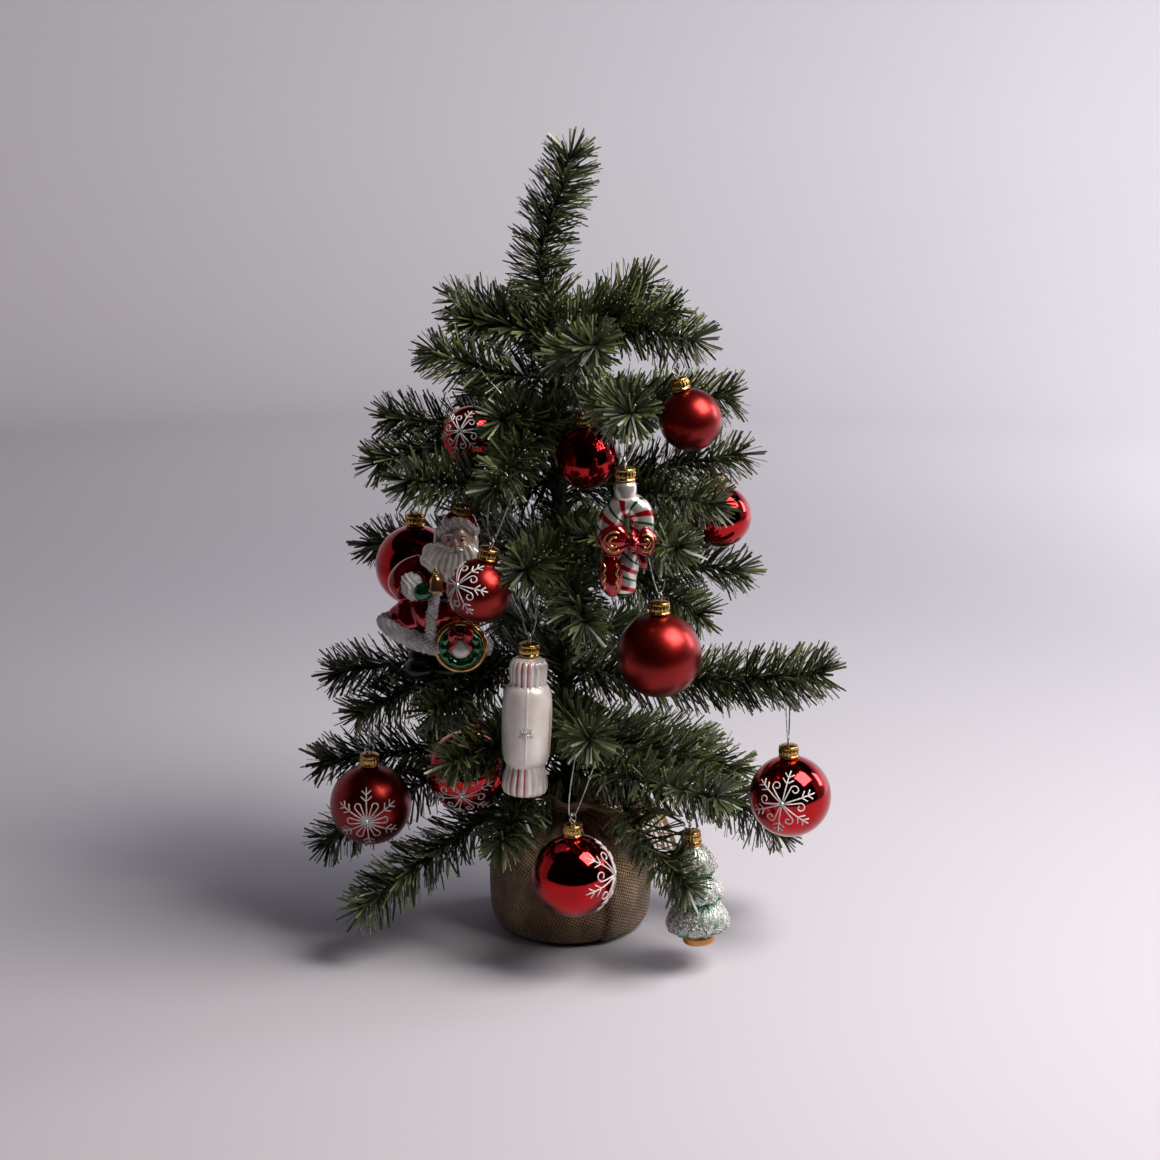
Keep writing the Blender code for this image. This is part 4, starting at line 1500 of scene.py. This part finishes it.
def tie_bow():
    put = in_place("cane")
    loops = [((-7.5, -8.5, 2), (11, 6.5, 11)), ((14, -8, 1), (8, 6.5, 10))]
    knot = ((5.5, -12.5, 0.5), (3.6, 4.2, 6.0))
    tail = ((-9.5, -7.5, -23), (8.2, 4.5, 15.5))
    parts = [egg(*blob) for blob in loops] + [
        egg(*knot), egg(*tail, tilt=-5), egg((12, -8, -12), (3.0, 3, 7), tilt=-14)
    ]
    fans = lambda p: 0.35 * np.sin(9 * np.arctan2(p[:, 2] - 0.5, np.abs(p[:, 0] - 5.5))) * (p[:, 2] > -9)
    on_ornament(fused("cane_bow", parts, put, RED_LACQUER, ripple=fans), "cane", "painted_glass")
    # Painted highlights: gold relief lines in swirls on the loops and along both edges of the tail stand in
    # for the bow's bright shine.
    lines = []
    for blob, way in zip(loops, (-1, 1)):
        (cx, _, cz), (sx, _, sz) = blob
        for share in (0.3, 0.62):
            arc = np.radians(np.linspace(-120, 120, 9))
            lines.append(
                [
                    front_of(blob, cx + way * sx * share * math.cos(a), cz + sz * share * math.sin(a))
                    for a in arc
                ]
            )
    for x in (-14, -5.4):
        lines.append([front_of(tail, x + 0.6 * math.sin(z), z) for z in np.linspace(-14, -33, 7)])
    on_ornament(drawn("cane_bow_lines", lines, put, GOLD_LACQUER, 0.85), "cane", "gold_cap")


mould_cane()
tie_bow()
print("cane and bow")

# %% [markdown]
# ## The wrapped sweet
# It was blown into a two-part mould, so it is a turned shape with a faint seam
# in front, and its two skirts are pleated. The pleats are real waves in the
# radius, not a bump, because they break the outline.

# %% The wrapped sweet
SWEET_ROWS = [
    (9.5, -52), (13.6, -51.4), (15.4, -49.6), (15.9, -46.5), (15.4, -41), (14.2, -36), (13.3, -32),
    (13.6, -30.2), (15, -28.6), (16.3, -25.5), (17.1, -20), (17.5, -12), (17.7, -2), (17.7, 8), (17.4, 16),
    (16.6, 22), (15.1, 26), (13.2, 28.2), (12.4, 30), (12.7, 34), (13.1, 38.5), (12.9, 42), (11.6, 45),
    (9.4, 46.8), (7.6, 47.8), (6.2, 48.3), (NECK, 48.9), (NECK, 53)
]
PLEATS = 18


def on_skirt(z):
    return z > 28.5 and z < 46 or z < -30.5 and z > -51


def sweet_shape(r, z, turn):
    front = (turn - 1.5 * math.pi + math.pi) % (2 * math.pi) - math.pi
    seam = 0.3 * math.exp(-((front / 0.035) ** 2)) * (r > 8)
    return r + seam + (0.36 * math.cos(PLEATS * turn) if on_skirt(z) else 0.0)


def sweet_paint(r, z, turn):
    if on_skirt(z):
        return 0.5 + 0.46 * max(
            0.0, math.cos(PLEATS * turn + math.pi)
        ) * (0.62 + 0.38 * math.sin(3 * turn + 1))
    right = (turn + math.pi) % (2 * math.pi) - math.pi
    waver = 0.03 * math.sin(z * 0.9)
    band = math.exp(-(((right + 0.42 + waver) / 0.085) ** 2)) + math.exp(-(((right - 2.6) / 0.09) ** 2))
    return 0.5 + 0.34 * band * max(0.0, 1 - ((z + 3) / 22) ** 4)


def fine_rows(rows, steps=3):
    line = smooth_path([(r, 0, z) for r, z in rows], steps)
    return [(r, z, 0) for r, _, z in line]


def mould_sweet():
    rows = fine_rows(SWEET_ROWS)
    piece = turned(
        "candy_sweet", rows, set_of("candy"), PEARL, sides=192, shape=sweet_shape, paint=sweet_paint
    )
    on_ornament(piece, "candy", "pearl_glass", "candy_glass")
    put = in_place("candy")
    lines = []
    for line in flake_lines(scrolls=True):
        flat = np.array(line) * 0.22
        lines.append([(x, -math.sqrt(17.75**2 - x * x), y - 3) for x, y in flat])
    on_ornament(drawn("candy_glitter", lines, put, TINNED, 0.16), "candy", "pearl_glass")


# %% [markdown]
# ## The snowy fir
# Three tiers of green mirror glass under glued-on glitter snow. The tiers are
# turned with drooping scallops. The snow is thousands of small eight-sided
# grains that stand on the glass, thin at the green bands, so that it glints and
# has a rough outline.

# %% The snowy fir
FIR_ROWS = [
    (8.6, -43.5), (11, -43), (12, -41.4), (12.1, -38), (11, -36), (11.4, -35), (15.5, -34.4), (20, -32.8),
    (22.2, -30), (22.3, -27), (20.6, -21.5), (16.8, -15.5), (14.0, -12), (14.2, -10.8), (18.2, -9.4),
    (19.8, -6.6), (19.2, -3), (16.4, 2.6), (13.2, 7.2), (11.6, 9.4), (12.2, 10.4), (16.0, 11.8), (17, 14.6),
    (16.2, 18.6), (13.4, 24), (9.6, 28.8), (7.4, 30.6), (6.8, 32), (NECK, 33), (NECK, 37.5)
]
FIR_BANDS = (-34.5, -11.5, 9.8)  # heights of the bare green bands


def fir_shape(r, z, turn):
    if z < -35.5 or z > 30:
        return r
    droop = max(0.0, 1 - min(abs(z - band - 3) for band in FIR_BANDS) / 8)
    return r * (1 + 0.045 * droop * math.cos(13 * turn + z * 0.05) + 0.02 * math.cos(21 * turn - z * 0.5))


def fir_paint(r, z, turn):
    if z < -35.6 or z > 30.8:
        return 1.0
    band = min(abs(z - b + 0.8 * math.sin(5 * turn + b)) for b in FIR_BANDS)
    return min(0.5, max(0.0, 0.5 * (band - 3.2) / 1.2))


# %% The fir's snow
def sprinkled(name, put, rows, shape, count, keep, size, colour, seed):
    """Little grains stuck on a turned shape where keep(height, turn) says."""
    rng = np.random.default_rng(seed)
    heights = np.array([z for _, z, _ in rows])
    radii = np.array([r for r, _, _ in rows])
    star = np.array([(1, 0, 0), (-1, 0, 0), (0, 1, 0), (0, -1, 0), (0, 0, 1), (0, 0, -1)], float)
    sides = [(0, 2, 4), (2, 1, 4), (1, 3, 4), (3, 0, 4), (2, 0, 5), (1, 2, 5), (3, 1, 5), (0, 3, 5)]
    parts = []
    while len(parts) < count:
        z, turn = rng.uniform(heights[0], heights[-1]), rng.uniform(0, 2 * math.pi)
        if rng.random() > keep(z, turn):
            continue
        r = shape(np.interp(z, heights, radii), z, turn) + 0.1
        spin, _ = np.linalg.qr(rng.normal(size=(3, 3)))
        grain = star @ spin * size * rng.uniform(0.6, 1.3) + v(r * math.cos(turn), r * math.sin(turn), z)
        parts.append((put(grain), sides if np.linalg.det(spin) > 0 else [f[::-1] for f in sides]))
    return mesh_object(name, *gathered(parts), colour, smooth=False)


def snow_here(z, turn):
    if z < -33.5 or z > 30:
        return 0.0
    above = min((z - b) % 100 for b in FIR_BANDS)
    if above < 3.8 or above > 95:
        return 0.04
    return 0.95 if above > 3 else 0.5


def mould_fir():
    rows = fine_rows(FIR_ROWS)
    seat = set_of("snowy_tree")
    piece = turned("snowy_tree_fir", rows, seat, FROSTED, sides=128, shape=fir_shape, paint=fir_paint)
    on_ornament(piece, "snowy_tree", "snow_glass", "snowy_tree_glass")
    snow = sprinkled(
        "snowy_tree_snow", in_place("snowy_tree"), rows, fir_shape, 4300, snow_here, 0.6, PASTE, 21
    )
    on_ornament(snow, "snowy_tree", "snow_glass")


mould_sweet()
mould_fir()
print("sweet and fir")

# %% [markdown]
# ## The bearded figure
# A figure in a red coat trimmed with white fur, in the manner of old moulded
# ornaments. Its parts are simple eggs and tubes that are melted together zone
# by zone: a mould gives glass no sharp edge. The face is a plain one, made by
# the usual proportions: eyes half way up the head, the nose a quarter below.

# %% Coat, hat and fur
HEAD = (10.0, -4.0, 40.5)


def ring_line(centre, wide, deep, lift, steps=28):
    """A closed line round the figure; lift(turn) is its height."""
    turns = np.linspace(0, 2 * math.pi, steps + 1)
    return [
        (centre[0] + wide * math.cos(a), centre[1] + deep * math.sin(a), centre[2] + lift(a))
        for a in turns
    ]


def fluffy(points):
    """Fur pressed in a mould: short wavy tufts."""
    x, y, z = points.T
    return 0.4 * np.sin(1.5 * x + 0.8 * z + 2 * np.sin(0.5 * z)) + 0.25 * np.sin(2.4 * z - 1.1 * x + y)


def dress_figure(put):
    arm = tube(smooth_path([(-14, 0, 19), (-25, -2, 15), (-30, -6, 8), (-25, -11, 5)], 6), [9.0] * 19, 20)
    other_arm = tube(smooth_path([(17, 1, 18), (23, 1, 10), (24, -2, 0), (19, -5, -6)], 6), [6.8] * 19, 20)
    coat = [
        egg((-1, 0, 6), (22, 14, 21)), egg((-6, 0, -14), (27, 15, 20), tilt=14),
        egg((-25, -2, -20), (15, 11, 13), tilt=35), egg((9, 1, -20), (18, 12.5, 18)), arm, other_arm
    ]
    folds = lambda p: 0.5 * np.sin(0.55 * p[:, 0] + 0.12 * p[:, 2]) * (p[:, 2] < 2)
    yield fused(
        "santa_coat", coat, put, RED_LACQUER, voxel=0.8, passes=6, ripple=folds
    ), "painted_glass", ["santa_glass"]
    hat = [egg((12, 1, 49), (12.5, 11.5, 10.5)), egg((18, 4, 43), (8.5, 8, 13), tilt=-16)]
    yield fused("santa_hat", hat, put, RED_LACQUER, passes=3), "painted_glass", []
    hem = ring_line((-6, 0, -38), 35, 13.5, lambda a: 13 * ((1 - math.cos(a)) / 2) ** 3 - 3 * math.cos(a))
    trim = smooth_path([(-3, -13, 6), (-6, -15.5, -6), (-8, -16, -20), (-8, -14, -38)], 6)
    fur = [
        tube(hem, 7.0, 18), tube(trim, [4.2] * len(trim), 16), egg((-21, -13, 7), (8.6, 8, 10.5), tilt=-24),
        egg((19, -7, -7), (7.0, 6.2, 7.2))
    ]
    yield fused("santa_fur", fur, put, FUR_WHITE, voxel=0.7, passes=4, ripple=fluffy), "painted_glass", []
    brim = ring_line((10.5, 0, 42.5), 12.2, 11.0, lambda a: 1.5 * math.cos(a) + 10 * math.sin(a) ** 2)
    yield fused(
        "santa_brim", [tube(brim, 4.2, 18)], put, FUR_WHITE, passes=3, ripple=fluffy
    ), "painted_glass", []
    belt = ring_line((-1, 0, -1), 23, 14.8, lambda a: 0.0)
    boots = [
        egg((-16, -5, -55), (12.5, 11, 8.5)), egg((4, -4.5, -55), (11, 10.5, 8.5)),
        egg((-14, 0, -48), (12, 9, 9)), egg((3, 0, -48), (11, 9, 9)), tube(belt, 2.6, 12)
    ]
    yield fused("santa_boots", boots, put, BLACK_LACQUER, passes=4), "painted_glass", []
    mitten = [egg((-13, -19, 4.5), (7.2, 5.6, 6.6)), egg((-9, -21, 8), (2.8, 2.8, 4.6), tilt=30)]
    yield fused("santa_mitten", mitten, put, GREEN_LACQUER, passes=3), "painted_glass", []


# %% [markdown]
# ### Face and beard
# The beard is thick locks, each a tapering tube on its own curve, in two layers
# and then melted together only a little, so that the grooves stay. A face in
# moulded glass is shallow: eggs for the head, nose and cheeks are enough.

# %% Face and beard
def comb_beard():
    """Thick locks that swell out from the chin and cheeks and curl in again below."""
    locks = [
        egg((6, -7, 26), (16, 8, 11)), egg((8, -4, 34), (14, 9, 9)), egg((-8, -8, 30), (6, 5.5, 7)),
        egg((20, -8, 30), (6, 5.5, 7))
    ]
    for layer, (count, fall, out) in enumerate(((13, 0, 0.0), (8, 3.5, 2.4))):
        for k in range(count):
            fan = -1 + 2 * k / (count - 1)
            round_off = math.sqrt(max(0.0, 1 - 0.86 * fan * fan))
            start = v(9 + 9.5 * fan, -12.5 - out, 34.5 + 2.5 * abs(fan))
            swell = v(7.5 + (18.5 - 4 * layer) * fan, -13 - 1.5 * round_off - out, 31.5 - 4 * round_off)
            fallen = v(
                6 + (18.5 - 4 * layer) * fan, -13 - 2 * round_off - out, 27 - 7.5 * round_off + 0.4 * fall
            )
            end = v(
                5 + (8.5 - layer) * fan + 1.1 * math.cos(3 * k), -11.5 - 3 * round_off - out,
                22 - 11.5 * round_off + fall
            )
            line = smooth_path([start, swell, fallen, end], 7)
            locks.append(tube(line, np.linspace(2.8, 1.7, len(line)), 10))
    return locks


def carve_face(put):
    x, y, z = HEAD
    head = [
        egg(HEAD, (12, 11.5, 13)), egg((x, y - 11.2, z - 1.8), (1.7, 2.3, 3.0)),
        egg((x, y - 12.0, z - 3.4), (2.3, 2.0, 1.8))
    ]
    head += [egg((x + s * 5.3, y - 9.0, z - 3.8), (3.4, 2.7, 2.7)) for s in (-1, 1)]
    head += [egg((x + s * 4.6, y - 9.8, z + 0.7), (2.2, 1.4, 1.4)) for s in (-1, 1)]
    head += [egg((x, y - 10.2, z - 7.6), (2.4, 1.3, 1.0))]
    yield fused("santa_face", head, put, FLESH, voxel=0.4, passes=3), "painted_glass", []
    eyes = [egg((x + s * 4.6, y - 10.9, z + 0.4), (1.2, 0.6, 0.8), rows=10, sides=16) for s in (-1, 1)]
    points, faces = gathered(eyes)
    yield mesh_object("santa_eyes", put(points), faces, BLACK_LACQUER), "painted_glass", []
    beard = comb_beard()
    yield fused("santa_beard", beard, put, WHITE_PEARL, voxel=0.5, passes=2), "painted_glass", []
    lip = []
    for s in (-1, 1):
        line = smooth_path(
            [
                (x + s * 0.7, y - 13.4, z - 5.8), (x + s * 3.9, y - 13.4, z - 6.2),
                (x + s * 8, y - 10.6, z - 8)
            ],
            6
        )
        lip.append(tube(line, np.linspace(2.1, 1.0, len(line)), 12))
        brow = smooth_path(
            [
                (x + s * 2.0, y - 10.9, z + 3.6), (x + s * 4.8, y - 10.9, z + 4.4),
                (x + s * 7.6, y - 9.0, z + 3.0)
            ],
            6
        )
        lip.append(tube(brow, np.linspace(1.0, 0.7, len(brow)), 10))
        hair = smooth_path(
            [(x + s * 11.4, y + 1, z + 4), (x + s * 13, y - 2, z - 2), (x + s * 12.6, y - 3, z - 9)], 6
        )
        lip.append(tube(hair, 3.0, 12))
    yield fused("santa_moustache", lip, put, WHITE_PEARL, voxel=0.4, passes=2), "painted_glass", []


# %% [markdown]
# ### Bell and wreath
# A small bell is turned like the balls. The wreath is rings of different
# thickness: a gold rim, a green lobed ring and a white middle, with a red bow.

# %% What the figure carries
def load_figure(put):
    stand = (put([(-4, -20, 5.5)])[0], v(1, 0, 0), v(0, 1, 0), v(0, 0, 1))
    bell = [
        (5.8, 0, 0), (6.2, 1, 0), (5.2, 3.2, 0), (4.6, 6.5, 0), (3.8, 9.6, 0), (2.2, 11.2, 0),
        (1.1, 11.8, 0), (1.5, 13, 0), (1.7, 14.6, 0), (1.2, 16, 0), (0.2, 16.6, 0)
    ]
    yield turned("santa_bell", bell, stand, GOLD_LACQUER, sides=48), "gold_cap", []
    x, y, z = 13.0, -17.0, -36.0

    def hoop(size, deep, r, wave=0.0):
        turns = np.linspace(0, 2 * math.pi, 49)
        return tube(
            [(x + size * math.cos(a), y - deep, z + size * math.sin(a)) for a in turns],
            r + wave * np.cos(12 * turns), 14
        )

    yield fused(
        "santa_wreath_rim", [hoop(17, 0, 2.6), egg((x, y + 4, z), (18, 6, 18))], put, GOLD_LACQUER, passes=3
    ), "gold_cap", []
    yield fused(
        "santa_wreath", [hoop(12.2, 2.5, 3.4, 0.3)], put, GREEN_LACQUER, passes=2
    ), "painted_glass", []
    yield fused(
        "santa_wreath_star", [egg((x, y - 2, z - 1), (7.5, 3.5, 7.5))], put, WHITE_PEARL, passes=2
    ), "painted_glass", []
    bow = [
        egg((x - 5.5, y - 4.5, z + 10), (6, 3.4, 3.6), tilt=100),
        egg((x + 6, y - 4.5, z + 10.5), (6, 3.4, 3.6), tilt=80), egg((x, y - 6, z + 10), (2.6, 3, 2.8)),
        egg((x - 5, y - 4, z + 3), (2.2, 2.2, 6), tilt=30),
        egg((x + 5.5, y - 4, z + 3.5), (2.2, 2.2, 6), tilt=-30)
    ]
    yield fused("santa_wreath_bow", bow, put, RED_LACQUER, voxel=0.5, passes=3), "painted_glass", []


def mould_figure():
    put = upright("santa")
    for made in (dress_figure(put), carve_face(put), load_figure(put)):
        for piece, slot, nodes in made:
            on_ornament(piece, "santa", slot, *nodes)
    neck = [(NECK, 50, 6), (NECK, 60, 6)]
    on_ornament(
        turned("santa_neck", neck, set_of("santa"), RED_LACQUER, sides=32), "santa", "painted_glass"
    )


mould_figure()
print("figure")
